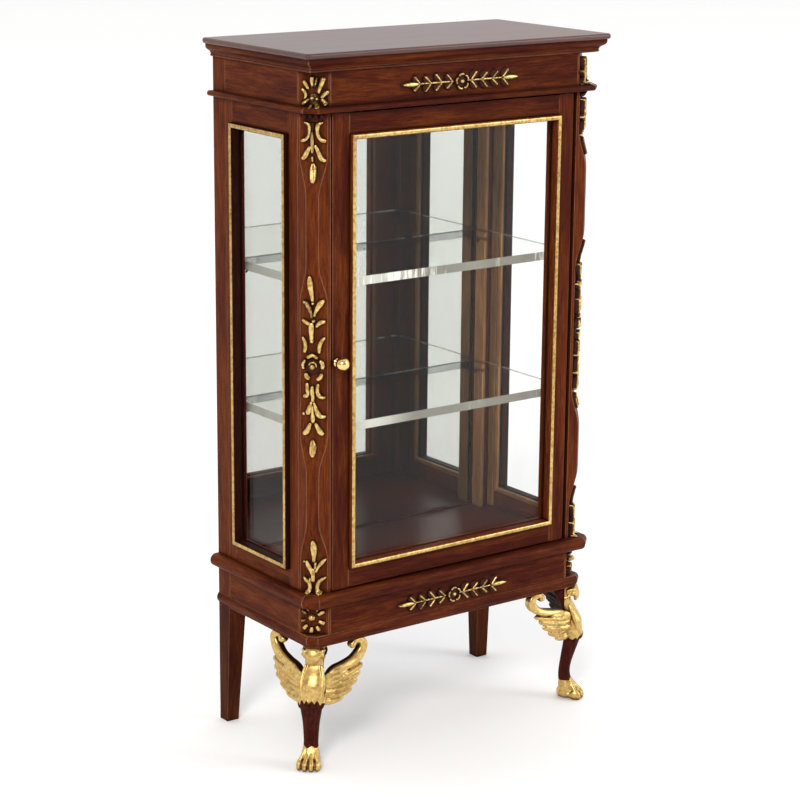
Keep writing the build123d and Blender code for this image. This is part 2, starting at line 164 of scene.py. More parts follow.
def spread(tree, value, low, high):
    """0 to 1 turned into low to high."""
    return add(tree, "MapRange", {"Value": value, "To Min": low, "To Max": high}).outputs[0]


def blend(tree, share, first, second):
    """A colour between first and second."""
    made = add(tree, "Mix", {0: share}, data_type="RGBA")
    for slot, colour in ((6, first), (7, second)):
        if isinstance(colour, bpy.types.NodeSocket):
            tree.links.new(colour, made.inputs[slot])
        else:
            made.inputs[slot].default_value = (*colour, 1)
    return made.outputs[2]


def bump(tree, height, strength, distance):
    return add(tree, "Bump", {"Height": height, "Strength": strength, "Distance": distance}).outputs[0]


def crevice(tree, distance):
    """1 on open surface, falling towards 0 in a corner or groove narrower than distance."""
    return add(tree, "AmbientOcclusion", {"Distance": distance}, samples=6).outputs["AO"]


def arris(tree, radius):
    """1 on an outer or inner edge of the piece, 0 on its flats."""
    rounded = add(tree, "Bevel", {"Radius": radius}, samples=4).outputs[0]
    flat = add(tree, "NewGeometry").outputs["Normal"]
    along = add(tree, "VectorMath", {0: rounded, 1: flat}, operation="DOT_PRODUCT").outputs["Value"]
    return step(tree, calc(tree, "SUBTRACT", 1.0, along), 0.008, 0.07)


def new_material(name):
    material = bpy.data.materials.new(name)
    material.use_nodes = True
    tree = material.node_tree
    return material, tree, tree.nodes["Principled BSDF"]


def attach(tree, shader, sockets):
    """Links the shader's sockets to other nodes, or sets them."""
    for key, value in sockets.items():
        if isinstance(value, bpy.types.NodeSocket):
            tree.links.new(value, shader.inputs[key])
        else:
            shader.inputs[key].default_value = value


# ---- materials
GRAIN_STRETCH = 0.07
FIGURE_STRETCH = 0.12
STAIN_DARK = (0.030, 0.0056, 0.0034)
STAIN_RED = (0.068, 0.0110, 0.0050)
STAIN_ORANGE = (0.165, 0.040, 0.0070)
# Edge colour for wear and painted highlight
WORN_HIGHLIGHT = (0.300, 0.140, 0.075)
STAIN_PORE = (0.012, 0.0035, 0.0025)
# Golden and pale edge colours for wear and painted highlight
GOLDEN_WORN_HIGHLIGHT = (0.34, 0.16, 0.05)
PALE_WORN_HIGHLIGHT = (0.66, 0.42, 0.20)
STAINS = (STAIN_DARK, STAIN_RED, STAIN_ORANGE)
# Heights in mm over which the painted shade under the case sets in
SHADE_UNDER_CASE_REACH = (33, 28)
# Paler stains for the lit copy of the wood: painted light
LIT_STAINS = ((0.105, 0.050, 0.020), (0.200, 0.095, 0.036), (0.340, 0.175, 0.065))


def mahogany(name, grain, orange, shine=0.03, wear_and_highlight=0.8, wear_and_highlight_tint=WORN_HIGHLIGHT, grimy_shade_reach=1.1, shade_under_case=0.0,
             stains=STAINS, ridges=0.25):
    """Stained and lacquered wood, its grain along x, y or z. Corners narrower than grimy_shade_reach, in mm,
    are darkened: soiling and painted shade.
    """
    material, tree, shader = new_material("mahogany_" + name)
    place = place_mm(tree)
    long_way = [GRAIN_STRETCH if axis == grain else 1.0 for axis in "xyz"]
    half_way = [FIGURE_STRETCH if axis == grain else 1.0 for axis in "xyz"]
    fibre = noise(tree, scaled(tree, place, long_way), 3.0, 6, 0.70, 0.2)
    pores = noise(tree, scaled(tree, place, long_way), 6.0, 3, 0.6)
    figure = noise(tree, scaled(tree, place, half_way), 0.30, 5, 0.65, 0.4)
    patches = step(tree, plus(tree, figure, (orange - 0.5) * 0.5), 0.34, 0.66)
    colour = blend(tree, step(tree, fibre, 0.30, 0.68), stains[0], stains[1])
    warm = blend(tree, step(tree, fibre, 0.30, 0.70), stains[1], stains[2])
    colour = blend(tree, patches, colour, warm)
    colour = blend(tree, times(tree, step(tree, pores, 0.55, 0.70), 0.6), colour, STAIN_PORE)
    # Painted shade, with some soiling: corners and grooves are darkened towards the pore colour.
    open_air = crevice(tree, grimy_shade_reach * MM)
    colour = blend(tree, times(tree, step(tree, open_air, 0.88, 0.40), 0.80), colour, STAIN_PORE)
    # Wear and painted highlight: open outer edges are lightened towards the edge colour.
    rubbed = times(tree, arris(tree, 0.32 * MM), step(tree, open_air, 0.80, 0.95))
    rubbed = times(tree, rubbed, spread(tree, noise(tree, place, 0.7, 3), 0.1, 1.4 * wear_and_highlight))
    colour = blend(tree, rubbed, colour, wear_and_highlight_tint)
    # Painted shade: the rear legs are darkened below the apron, under the case.
    if shade_under_case:
        below = step(tree, split(tree, place)[2], *SHADE_UNDER_CASE_REACH)
        colour = blend(tree, times(tree, below, shade_under_case), colour, STAIN_PORE)
    uneven = plus(tree, times(tree, fibre, 0.5), times(tree, figure, 0.5))
    attach(tree, shader, {
        "Base Color": colour,
        "Roughness": spread(tree, uneven, 0.22, 0.50),
        "Specular IOR Level": shine,
        "Normal": bump(tree, plus(tree, fibre, times(tree, pores, 0.4)), ridges, 0.04 * MM),
    })
    return material


GOLD_BRIGHT = (0.740, 0.530, 0.200)
GOLD_MID = (0.430, 0.250, 0.068)
# GOLD_DEEP colours gold in painted shade, and dull gold
GOLD_DEEP = (0.170, 0.065, 0.016)
GOLD_GROUND = (0.040, 0.0110, 0.006)


def gold_paint(tree, shader, cover, ragged=0.30, ground=GOLD_GROUND, sheen=0.1, dull=0.0, gloss=0.20,
               mottled=0.12, grime=0.85, hollows=0.8):
    """Bronze paint over dark wood where cover is 1. Grooves narrower than hollows, in mm, are darkened:
    soiling and painted shade.
    """
    place = place_mm(tree)
    mottle = noise(tree, place, 1.3, 4, 0.6)
    cover = plus(tree, cover, spread(tree, noise(tree, place, 3.2, 3), -ragged, ragged))
    cover = step(tree, cover, 0.32, 0.56)
    gold = blend(tree, step(tree, mottle, 0.48 - mottled, 0.48 + mottled), GOLD_MID, GOLD_BRIGHT)
    open_air = crevice(tree, hollows * MM)
    # Painted shade, with some soiling: the gold is darkened in hollows.
    gold = blend(tree, step(tree, open_air, grime, grime - 0.45), gold, GOLD_DEEP)
    gold = blend(tree, dull, gold, GOLD_DEEP)
    # Painted shade: the bare wood between the gilding is darkened in hollows.
    ground = blend(tree, step(tree, open_air, 0.95, 0.55), ground, STAIN_PORE)
    bare = spread(tree, cover, 0.20, 0.0)
    attach(tree, shader, {
        "Base Color": blend(tree, cover, ground, gold),
        "Metallic": times(tree, cover, 0.9),
        "Roughness": plus(tree, spread(tree, mottle, gloss, gloss + 0.22), bare),
        "Specular IOR Level": sheen,
        "Normal": bump(tree, mottle, 0.35, 0.10 * MM),
    })


def gilt_bead(name, axis, outward, tints, dull):
    """A glazing bead, gilt where it faces outward along the axis. Its flanks are streaked wood."""
    material, tree, shader = new_material(name)
    facing = facing_of(tree)["xyz".index(axis)]
    streaks = noise(tree, scaled(tree, place_mm(tree), (1, 1, 0.06)), 3.0, 4, 0.7)
    flank = blend(tree, step(tree, streaks, 0.40, 0.62), *tints)
    nose = step(tree, times(tree, facing, outward), 0.50, 1.0)
    dull = plus(tree, spread(tree, noise(tree, place_mm(tree), 0.09, 3), -0.4, 0.6), dull)
    dull = calc(tree, "MINIMUM", calc(tree, "MAXIMUM", dull, 0.0), 0.8)
    gold_paint(tree, shader, nose, ground=flank, dull=dull, ragged=0.42, sheen=0.03)
    return material


def brass(name):
    material, tree, shader = new_material(name)
    cloud = noise(tree, place_mm(tree), 0.8, 3)
    attach(tree, shader, {
        "Base Color": blend(tree, cloud, (0.80, 0.52, 0.16), (0.95, 0.72, 0.30)),
        "Metallic": 1.0,
        "Roughness": spread(tree, cloud, 0.10, 0.26),
    })
    return material


EDGE_GLOW = (0.86, 0.90, 0.80)
EDGE_SHADE = (0.26, 0.25, 0.21)
SHELF_TINT = (0.975, 0.985, 0.975)
SHELF_GLINT = 0.015


def mixed(tree, share, first, second):
    """A surface between first and second."""
    return add(tree, "MixShader", {0: share, 1: first, 2: second}).outputs[0]


def put_on(tree, surface):
    """Makes the surface the material's own."""
    tree.links.new(surface, tree.nodes["Material Output"].inputs["Surface"])


def let_lamps_in(tree, surface):
    """Lamplight goes straight through to what lies behind the clear surface."""
    open_way = add(tree, "BsdfTransparent").outputs[0]
    rays = add(tree, "LightPath").outputs
    lamps = calc(tree, "MAXIMUM", rays["Is Shadow Ray"], rays["Is Diffuse Ray"])
    put_on(tree, mixed(tree, lamps, surface, open_way))


def clear(name, tint, bend=1.22):
    """A clear pane, a little smeared."""
    material, tree, shader = new_material(name)
    smear = step(tree, noise(tree, scaled(tree, place_mm(tree), (1, 1, 0.5)), 0.11, 4, 0.6, 0.8), 0.45, 0.75)
    attach(tree, shader, {
        "Base Color": blend(tree, smear, tint, [c * 0.97 for c in tint]),
        "Roughness": 0.0,
        "Transmission Weight": 1.0,
        "IOR": bend,
    })
    let_lamps_in(tree, shader.outputs[0])
    return material


def clear_shelf(name, top):
    """Clear sheet with sawn edges that catch the light. An edge seen through it is a thin line."""
    material, tree, shader = new_material(name)
    place = place_mm(tree)
    facing = facing_of(tree)
    parts = split(tree, place)
    edge = step(tree, calc(tree, "ABSOLUTE", facing[2]), 0.7, 0.3)
    streaks = noise(tree, scaled(tree, place, (1, 1, 0.12)), 0.8, 4, 0.75)
    # Painted light: the edges are bright in streaks and towards the left, and darker at the ends.
    lit = noise(tree, scaled(tree, place, (1, 1, 0.3)), 0.055, 2, 0.5)
    lit = step(tree, plus(tree, lit, streaks), 1.02, 1.16)
    lit = plus(tree, times(tree, step(tree, parts[0], -8, -22), 0.6), lit)
    end = step(tree, calc(tree, "ABSOLUTE", facing[0]), 0.3, 0.7)
    lit = times(tree, calc(tree, "MINIMUM", lit, 1.0), spread(tree, end, 1.0, 0.15))
    attach(tree, shader, {
        "Base Color": blend(tree, lit, EDGE_SHADE, EDGE_GLOW),
        "Roughness": 0.25,
        "Transmission Weight": 0.2,
        "IOR": 1.22,
    })
    tint = blend(tree, streaks, SHELF_TINT, [c * 0.98 for c in SHELF_TINT])
    open_sheet = add(tree, "BsdfTransparent", {"Color": tint}).outputs[0]
    glint = add(tree, "BsdfGlossy", {"Roughness": 0.02}).outputs[0]
    sheet = mixed(tree, SHELF_GLINT, open_sheet, glint)
    inner = add(tree, "NewGeometry").outputs["Backfacing"]
    within = calc(tree, "MAXIMUM", inner, step(tree, facing[1], 0.3, 0.7))
    top_mm = top * PER_MM
    line = times(tree, step(tree, parts[2], top_mm - 0.45, top_mm - 0.25), 0.6)
    seen = times(tree, edge, spread(tree, within, 1.0, line))
    let_lamps_in(tree, mixed(tree, seen, sheet, shader.outputs[0]))
    return material


def silvering(name):
    """A mirror. On the boards it throws soft light only, so that they have no bright specks."""
    material, tree, shader = new_material(name)
    cloud = noise(tree, place_mm(tree), 0.05, 3)
    tint = blend(tree, cloud, (0.49, 0.50, 0.475), (0.52, 0.53, 0.50))
    attach(tree, shader, {"Base Color": tint, "Metallic": 1.0, "Roughness": 0.015})
    soft = add(tree, "BsdfDiffuse", {"Color": tint}).outputs[0]
    bounced = add(tree, "LightPath").outputs["Is Diffuse Ray"]
    put_on(tree, mixed(tree, bounced, shader.outputs[0], soft))
    return material


def dress(material, *names):
    """Gives the material to CAD nodes."""
    for name in names:
        slots = nodes[name].data.materials
        slots.clear()
        slots.append(material)


def pair(*names):
    return [f"{name}_{hand}" for name in names for hand in ("left", "right")]


wood_x = mahogany("x", "x", 0.36)
wood_y = mahogany("y", "y", 0.56)
wood_z = mahogany("z", "z", 0.46, wear_and_highlight=1.0)
wood_post = mahogany("post", "z", 0.64, wear_and_highlight=1.2, grimy_shade_reach=1.5)
wood_side = mahogany("side", "z", 0.70)
wood_rear = mahogany("rear", "z", 0.62, wear_and_highlight=0.9, wear_and_highlight_tint=GOLDEN_WORN_HIGHLIGHT, shade_under_case=0.45)
wood_top = mahogany("top", "x", 0.40, shine=0.62, wear_and_highlight=0.3)
wood_inside = mahogany("inside", "x", 0.20, shine=0.02, ridges=0.03)

band_names = ("cornice", "frieze", "string", "waist", "apron", "base_bead")
door_rails = ("door_rail_top", "door_rail_bottom")
door_stiles = ("door_stile_knob", "door_stile_hinge")
side_rails = pair("side_rail_top", "side_rail_bottom")
side_stiles = pair("side_stile_front", "side_stile_rear")
dress(wood_top, "top_board")
dress(wood_x, *[name + "_front" for name in band_names], *door_rails)
dress(wood_y, *pair(*band_names), *side_rails)
dress(wood_z, *door_stiles)
dress(wood_post, *pair("post_front"))
dress(wood_rear, *pair("post_rear"))
dress(wood_side, *side_stiles)
dress(wood_inside, "floor_board", "ceiling_board", "back_board", "apron_back")
bead_lo, bead_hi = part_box("door_bead")
dress(gilt_bead("gilt_door_bead", "y", -1, (STAIN_RED, STAIN_ORANGE), 0.12), "door_bead")
for hand_name, hand in HANDS:
    # The side beads' flanks are near black: painted shade.
    bead = gilt_bead("gilt_side_bead_" + hand_name, "x", hand, (STAIN_PORE, STAIN_DARK), 0.28)
    dress(bead, "side_bead_" + hand_name)
dress(clear("clear_pane", (0.985, 0.99, 0.985)), "door_glass")
dress(clear("clear_side_pane", (0.985, 0.99, 0.98), bend=1.15), *pair("side_glass"))
for name in ("shelf_upper", "shelf_lower"):
    dress(clear_shelf("clear_" + name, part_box(name)[1].z), name)
dress(silvering("mirror"), "mirror")
dress(brass("brass"), "knob", "hinge_pins")
dress(clear("clear_peg", (0.95, 0.96, 0.95)), "shelf_pegs")


# ---- strips that hold the glass
def strip_frame(name, body, axis, span, low, high, width, material):
    """A four-sided frame of strips, square to the axis, its outer edge from low to high."""
    flat = [k for k in range(3) if k != axis]
    spots = []
    for place in span:
        for inset in (0.0, width):
            for first, second in ((0, 0), (1, 0), (1, 1), (0, 1)):
                spot = [0.0, 0.0, 0.0]
                spot[axis] = place
                spot[flat[0]] = (low[flat[0]] + inset, high[flat[0]] - inset)[first]
                spot[flat[1]] = (low[flat[1]] + inset, high[flat[1]] - inset)[second]
                spots.append(spot)
    faces = []
    for k in range(4):
        n = (k + 1) % 4
        faces += [(k, n, 4 + n, 4 + k), (8 + k, 12 + k, 12 + n, 8 + n)]
        faces += [(k, 8 + k, 8 + n, n), (4 + k, 4 + n, 12 + n, 12 + k)]
    strip_piece(name, body, spots, faces, material)


def strip_piece(name, body, spots, faces, material):
    """A piece of strip with softened corners."""
    mesh = bpy.data.meshes.new(name)
    mesh.from_pydata(spots, [], faces)
    shell = bmesh.new()
    shell.from_mesh(mesh)
    bmesh.ops.recalc_face_normals(shell, faces=shell.faces)
    shell.to_mesh(mesh)
    shell.free()
    mesh.materials.append(material)
    strip = show(name, mesh)
    edge = strip.modifiers.new("soft_edge", "BEVEL")
    edge.width, edge.segments = STRIP_ROUND, 3
    edge.harden_normals = True
    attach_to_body(strip, body)


STRIP_ROUND = 0.25 * MM
STRIP_WIDTH = 1.2 * MM
STRIP_PROUD = 0.5 * MM
DOOR_STRIP_PROUD = 0.3 * MM
MIRROR_STRIP = (0.7 * MM, 0.6 * MM)
wood_strip = mahogany("strip", "z", 0.80, wear_and_highlight=0.9, wear_and_highlight_tint=GOLDEN_WORN_HIGHLIGHT, grimy_shade_reach=0.6)
# A lit copy of the strip wood, pale with bright edges: painted light.
wood_lit_corner = mahogany("corner", "z", 0.50, wear_and_highlight=1.6, wear_and_highlight_tint=PALE_WORN_HIGHLIGHT, grimy_shade_reach=0.9,
                       stains=LIT_STAINS)
# A shaded copy of the wood, darker: painted shade.
wood_shade = mahogany("shade", "x", 0.10, wear_and_highlight=0.2)
glass_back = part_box("door_glass")[1].y
door_reach = (glass_back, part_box("door_stile_knob")[1].y + DOOR_STRIP_PROUD)
strip_frame("door_glass_strip", "door", 1, door_reach, bead_lo, bead_hi, STRIP_WIDTH, wood_strip)
# The left frame is in painted shade, the right frame in painted light.
for hand, material in (("left", wood_shade), ("right", wood_lit_corner)):
    low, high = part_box("side_bead_" + hand)
    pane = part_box("side_glass_" + hand)
    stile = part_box("side_stile_rear_" + hand)
    reach = (stile[1].x + STRIP_PROUD, pane[1].x) if hand == "left" else (pane[0].x, stile[0].x - STRIP_PROUD)
    strip_frame("side_glass_strip_" + hand, "case", 0, reach, low, high, STRIP_WIDTH, material)
mirror_lo, mirror_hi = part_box("mirror")
mirror_reach = (mirror_lo.y - MIRROR_STRIP[1], mirror_lo.y)
# The strip round the mirror is in painted shade.
strip_frame("mirror_strip", "case", 1, mirror_reach, mirror_lo, mirror_hi, MIRROR_STRIP[0], wood_shade)


def upright(name, low, high):
    """An upright strip between two corners."""
    corners = ((low[0], low[1]), (high[0], low[1]), (high[0], high[1]), (low[0], high[1]))
    spots = [(x, y, z) for z in (low[2], high[2]) for x, y in corners]
    faces = [(0, 1, 2, 3), (4, 5, 6, 7)] + [(k, (k + 1) % 4, 4 + (k + 1) % 4, 4 + k) for k in range(4)]
    # The lining strips are in the lit copy of the wood: painted light.
    strip_piece(name, "case", spots, faces, wood_lit_corner)


# strips that line the rear corner: one on the post, a little in front of the mirror, and one on the stile
LINING_DEEP = 3.6 * MM
LINING_GAP = 1.05 * MM
LINING_THICK = 0.9 * MM
LINING_JOINT = 0.25 * MM
far = mirror_lo.y - LINING_GAP
near_corner = (mirror_hi.x - LINING_THICK, far - LINING_DEEP, mirror_lo.z)
upright("corner_strip", near_corner, (mirror_hi.x, far, mirror_hi.z))
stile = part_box("side_stile_rear_right")
near_corner = (stile[0].x - STRIP_PROUD, stile[0].y + LINING_JOINT, mirror_lo.z)
upright("stile_strip", near_corner, (stile[0].x, stile[1].y, mirror_hi.z))


# ---- carved relief
# Stations across a leaf from edge to edge, and in mm what its flanks add to its width and how deep it sits
ACROSS = [-1.0, -0.93, -0.74, -0.45, -0.15, 0.15, 0.45, 0.74, 0.93, 1.0]
FLANK = 0.32
SINK = 0.25
END_ROUNDING = 12
TIP_SHARE = 0.06
PETAL_HEIGHT = 0.765
PLATE_HEIGHT = 0.27


def through(values, share):
    """A smooth curve through the values, from share 0 to 1. Values are numbers or Vectors."""
    spot = share * (len(values) - 1)
    first = min(int(spot), len(values) - 2)
    t = spot - first
    before, start, end, after = (values[min(max(first + k, 0), len(values) - 1)] for k in (-1, 0, 1, 2))
    return 0.5 * (2 * start + (end - before) * t + (2 * before - 5 * start + 4 * end - after) * t * t
                  + (3 * start - before - 3 * end + after) * t * t * t)


def ramp(value, low, high):
    """0 below low, 1 above high, smooth between."""
    share = min(max((value - low) / (high - low), 0.0), 1.0)
    return share * share * (3 - 2 * share)


def squared_circle(count, square=1.0):
    """Points round a circle, squared off where square is under 1."""
    for k in range(count):
        turn = 2 * math.pi * k / count
        c, s = math.cos(turn), math.sin(turn)
        yield math.copysign(abs(c) ** square, c), math.copysign(abs(s) ** square, s)


class Relief:
    """Carved pieces gathered into one mesh. place(u, v, h) gives the point h above the ground at u, v, in mm.

    The gilding fades from a leaf's crest to its edges, and a low fade leaves only the crest gilt.
    """

    def __init__(self, place, fade=1.6):
        self.place = place
        self.fade = fade
        self.points, self.faces, self.gild = [], [], []

    def frond(self, line, widths, height=0.9, groove=0.0, gilt=1.0):
        """A leaf, stem or scroll along the line, with its widths spaced evenly along it."""
        spine = [Vector((*spot, 0)) for spot in line]
        rings = 5 * (len(line) - 1) + 4
        start = len(self.points)
        ring_size = len(ACROSS) + 2
        for ring in range(rings + 1):
            share = 0.5 - 0.5 * math.cos(math.pi * ring / rings)
            here = through(spine, share)
            ahead = through(spine, min(share + 0.01, 1)) - through(spine, max(share - 0.01, 0))
            across = Vector((-ahead.y, ahead.x, 0)).normalized()
            end = max(math.sqrt(max(1 - abs(2 * share - 1) ** END_ROUNDING, 0)), TIP_SHARE)
            half = (max(through(widths, share), 0.05) + FLANK) / 2 * end
            tall = height * (0.35 + 0.65 * min(half / (0.30 * max(widths)), 1)) * end
            for t in ACROSS:
                rise = (1 - abs(t) ** 2.4) ** 0.6 - groove * math.exp(-(t / 0.28) ** 2)
                spot = here + across * half * t
                self.points.append(self.place(spot.x, spot.y, tall * rise))
                self.gild.append(gilt * (1 - abs(t) ** self.fade) - 0.4 * groove * math.exp(-(t / 0.2) ** 2))
            for t in (1.0, -1.0):
                spot = here + across * half * t
                self.points.append(self.place(spot.x, spot.y, -SINK))
                self.gild.append(0.0)
        self.bands(start, ring_size, rings)
        self.faces.append(tuple(start + rings * ring_size + k for k in range(ring_size)))

    def bands(self, start, size, count):
        """Bands of faces between rings of points, and a face that closes the first ring."""
        for ring in range(start, start + count * size, size):
            for k in range(size):
                a, b = ring + k, ring + (k + 1) % size
                self.faces.append((a, b, b + size, a + size))
        self.faces.append(tuple(start + k for k in reversed(range(size))))

    def boss(self, centre, radius, height=0.9, gilt=1.0):
        """A round knob."""
        sides, rings = 20, 7
        start = len(self.points)
        for ring in range(rings + 1):
            angle = 0.5 * math.pi * ring / rings
            out, rise = radius * math.cos(angle), height * math.sin(angle) ** 0.8
            for c, s in squared_circle(sides):
                spot = centre[0] + out * c, centre[1] + out * s
                self.points.append(self.place(*spot, rise if ring else -SINK))
                self.gild.append(gilt * min(1.0, ring / 2))
        self.bands(start, sides, rings - 1)
        top = start + rings * sides
        del self.points[top + 1:], self.gild[top + 1:]
        for k in range(sides):
            self.faces.append((top - sides + k, top - sides + (k + 1) % sides, top))

    def rose(self, centre, radius, petals, first, width, boss, gilt):
        """A boss in a ring of petals, each a short thick arc with turned-up ends."""
        reach = 150.0 / petals
        for petal in range(petals):
            middle = first + 360.0 * petal / petals
            line = []
            for turn, out in ((-1.0, 0.94), (-0.5, 1.03), (0.0, 1.06), (0.5, 1.03), (1.0, 0.94)):
                angle, far = math.radians(middle + reach * turn), radius * out
                line.append((centre[0] + far * math.cos(angle), centre[1] + far * math.sin(angle)))
            widths = [width * share for share in (0.75, 1.0, 0.9, 1.0, 0.75)]
            self.frond(line, widths, height=PETAL_HEIGHT, gilt=gilt)
        self.boss(centre, boss)
        self.boss(centre, radius * 0.98, PLATE_HEIGHT, gilt=0.1)

    def star(self, centre, spokes, width, height=0.9, gilt=1.0):
        """Straight petals round a centre. A spoke is an angle with its inner and outer radius."""
        for angle, inner, outer in spokes:
            turn = math.radians(angle)
            along = Vector((math.cos(turn), math.sin(turn)))
            stations = (inner, (inner + outer) / 2, outer)
            line = [(centre[0] + along.x * r, centre[1] + along.y * r) for r in stations]
            self.frond(line, [width * 0.55, width, width * 0.9], height=height, groove=0.18, gilt=gilt)

    def piece(self, name):
        return gilded_piece(name, self.points, self.faces, self.gild, carved_gilt)


def gilded_piece(name, points, faces, gild, material):
    """One smooth piece with a gild value for each point."""
    mesh = bpy.data.meshes.new(name)
    mesh.from_pydata(points, [], faces)
    mesh.polygons.foreach_set("use_smooth", [True] * len(mesh.polygons))
    mesh.attributes.new("gild", "FLOAT", "POINT").data.foreach_set("value", gild)
    mesh.materials.append(material)
    mesh.update()
    return show(name, mesh)


def gilt_carving(name, grain=None, **looks):
    """Gilt over carved wood, as far as the piece's gild attribute says. The wood may have a grain."""
    material, tree, shader = new_material(name)
    if grain:
        streaks = noise(tree, scaled(tree, place_mm(tree), (1, 1, 0.12)), 1.6, 4, 0.7)
        looks["ground"] = blend(tree, step(tree, streaks, 0.40, 0.64), *grain)
    gold_paint(tree, shader, add(tree, "Attribute", attribute_name="gild").outputs["Fac"], **looks)
    return material


carved_gilt = gilt_carving("gilt_carving")


# ---- sprays on frieze and apron
# In mm: how far a leaf reaches along and away from the stem, and where the first pair is
MOUNT_TIP = 1.35
MOUNT_SPREAD = 1.70
MOUNT_FIRST_PAIR = 2.9
MOUNT_PAIRS = 4


def mount(name, middle_x, half_length, stem_z, bud_length):
    """A straight spray: a rose between two rows of paired leaves, with a long bud at each end."""
    def place(u, v, h):
        return Vector((middle_x + u * MM, front - h * MM, v * MM))

    relief = Relief(place)
    relief.rose((0.3, stem_z - 0.15), 1.6, petals=5, first=100.0, width=0.40, boss=0.55, gilt=0.6)
    bud = half_length - bud_length
    spacing = (bud - MOUNT_FIRST_PAIR) / (MOUNT_PAIRS - 1)
    for way in (-1, 1):
        relief.frond([(way * 1.9, stem_z), (way * (bud + 0.4), stem_z)], [0.45, 0.35], height=0.6, gilt=0.55)
        tip = [(way * (bud + bud_length * share), stem_z) for share in (0.0, 0.35, 0.7, 1.0)]
        relief.frond(tip, [0.45, 1.0, 0.8, 0.05], height=0.88)
        under = [(way * (bud - 0.3), stem_z), (way * (half_length + 0.4), stem_z)]
        relief.frond(under, [1.5, 0.5], height=0.35, gilt=0.1)
        for number in range(MOUNT_PAIRS):
            apex = MOUNT_FIRST_PAIR + spacing * number
            for up in (-1, 1):
                lean = 1.0 + 0.12 * math.sin(2.1 * number + way + 0.7 * up)
                leaf = [
                    (way * (apex - 0.2), stem_z + up * 0.1),
                    (way * (apex + 0.50 * MOUNT_TIP), stem_z + up * 0.60 * MOUNT_SPREAD * lean),
                    (way * (apex + MOUNT_TIP), stem_z + up * MOUNT_SPREAD * lean),
                ]
                relief.frond(leaf, [0.9, 1.9, 1.0], height=0.68, gilt=0.12)
                brushed = 0.75 + 0.25 * math.sin(3.7 * number + 2 * way + up)
                relief.frond(leaf, [0.26, 0.34, 0.42], height=0.90, gilt=brushed)
    piece = relief.piece("carved_" + name)
    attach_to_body(piece, "case")
    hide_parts(name)


mount("frieze_mount", 0.3 * MM, 16.3, 156.5, 4.4)
mount("apron_mount", 0.2 * MM, 16.1, 35.3, 4.6)


# ---- sprays on the corner posts
def corner_ways(hand):
    """Away from the case at a front corner, and along the corner's face towards the middle."""
    return Vector((hand, -1, 0)).normalized(), Vector((-hand, -1, 0)).normalized()


def post_ground(node, hand):
    """How far the post's carved face lies behind the case's corner, by height in mm."""
    mesh = nodes[node].data
    tree = BVHTree.FromPolygons([v.co for v in mesh.vertices], [tuple(p.vertices) for p in mesh.polygons])
    outward = corner_ways(hand)[0]
    corner = Vector((hand * side, front, 0))
    depths = []
    for height in range(GROUND_LOW, GROUND_HIGH + 1):
        start = corner + outward * PROBE_START + Vector((0, 0, height * MM))
        hit = tree.ray_cast(start, -outward)[0]
        depths.append((hit - start).length - PROBE_START if hit else 0.0)
    return depths


PROBE_START = 20 * MM
GROUND_LOW, GROUND_HIGH = 33, 160
# How high the relief stands, where 1 is as written below, and how its gilding fades
POST_CARVING = {"left": (1.0, 1.6), "right": (1.6, 1.0)}
# The buds at the ends of the sprays stand no higher than written
POST_BUDS = ((136, 142), (111, 117), (74, 79), (51, 56))
# Stations along a leaf in mm: across, up and width
CURL = ((2.2, 149.75, 0.2), (1.35, 149.4, 0.65), (0.98, 148.9, 0.95), (0.92, 147.8, 0.7), (1.15, 146.7, 0.7),
        (1.8, 145.95, 0.8), (2.4, 145.75, 0.9), (2.85, 145.65, 0.6))
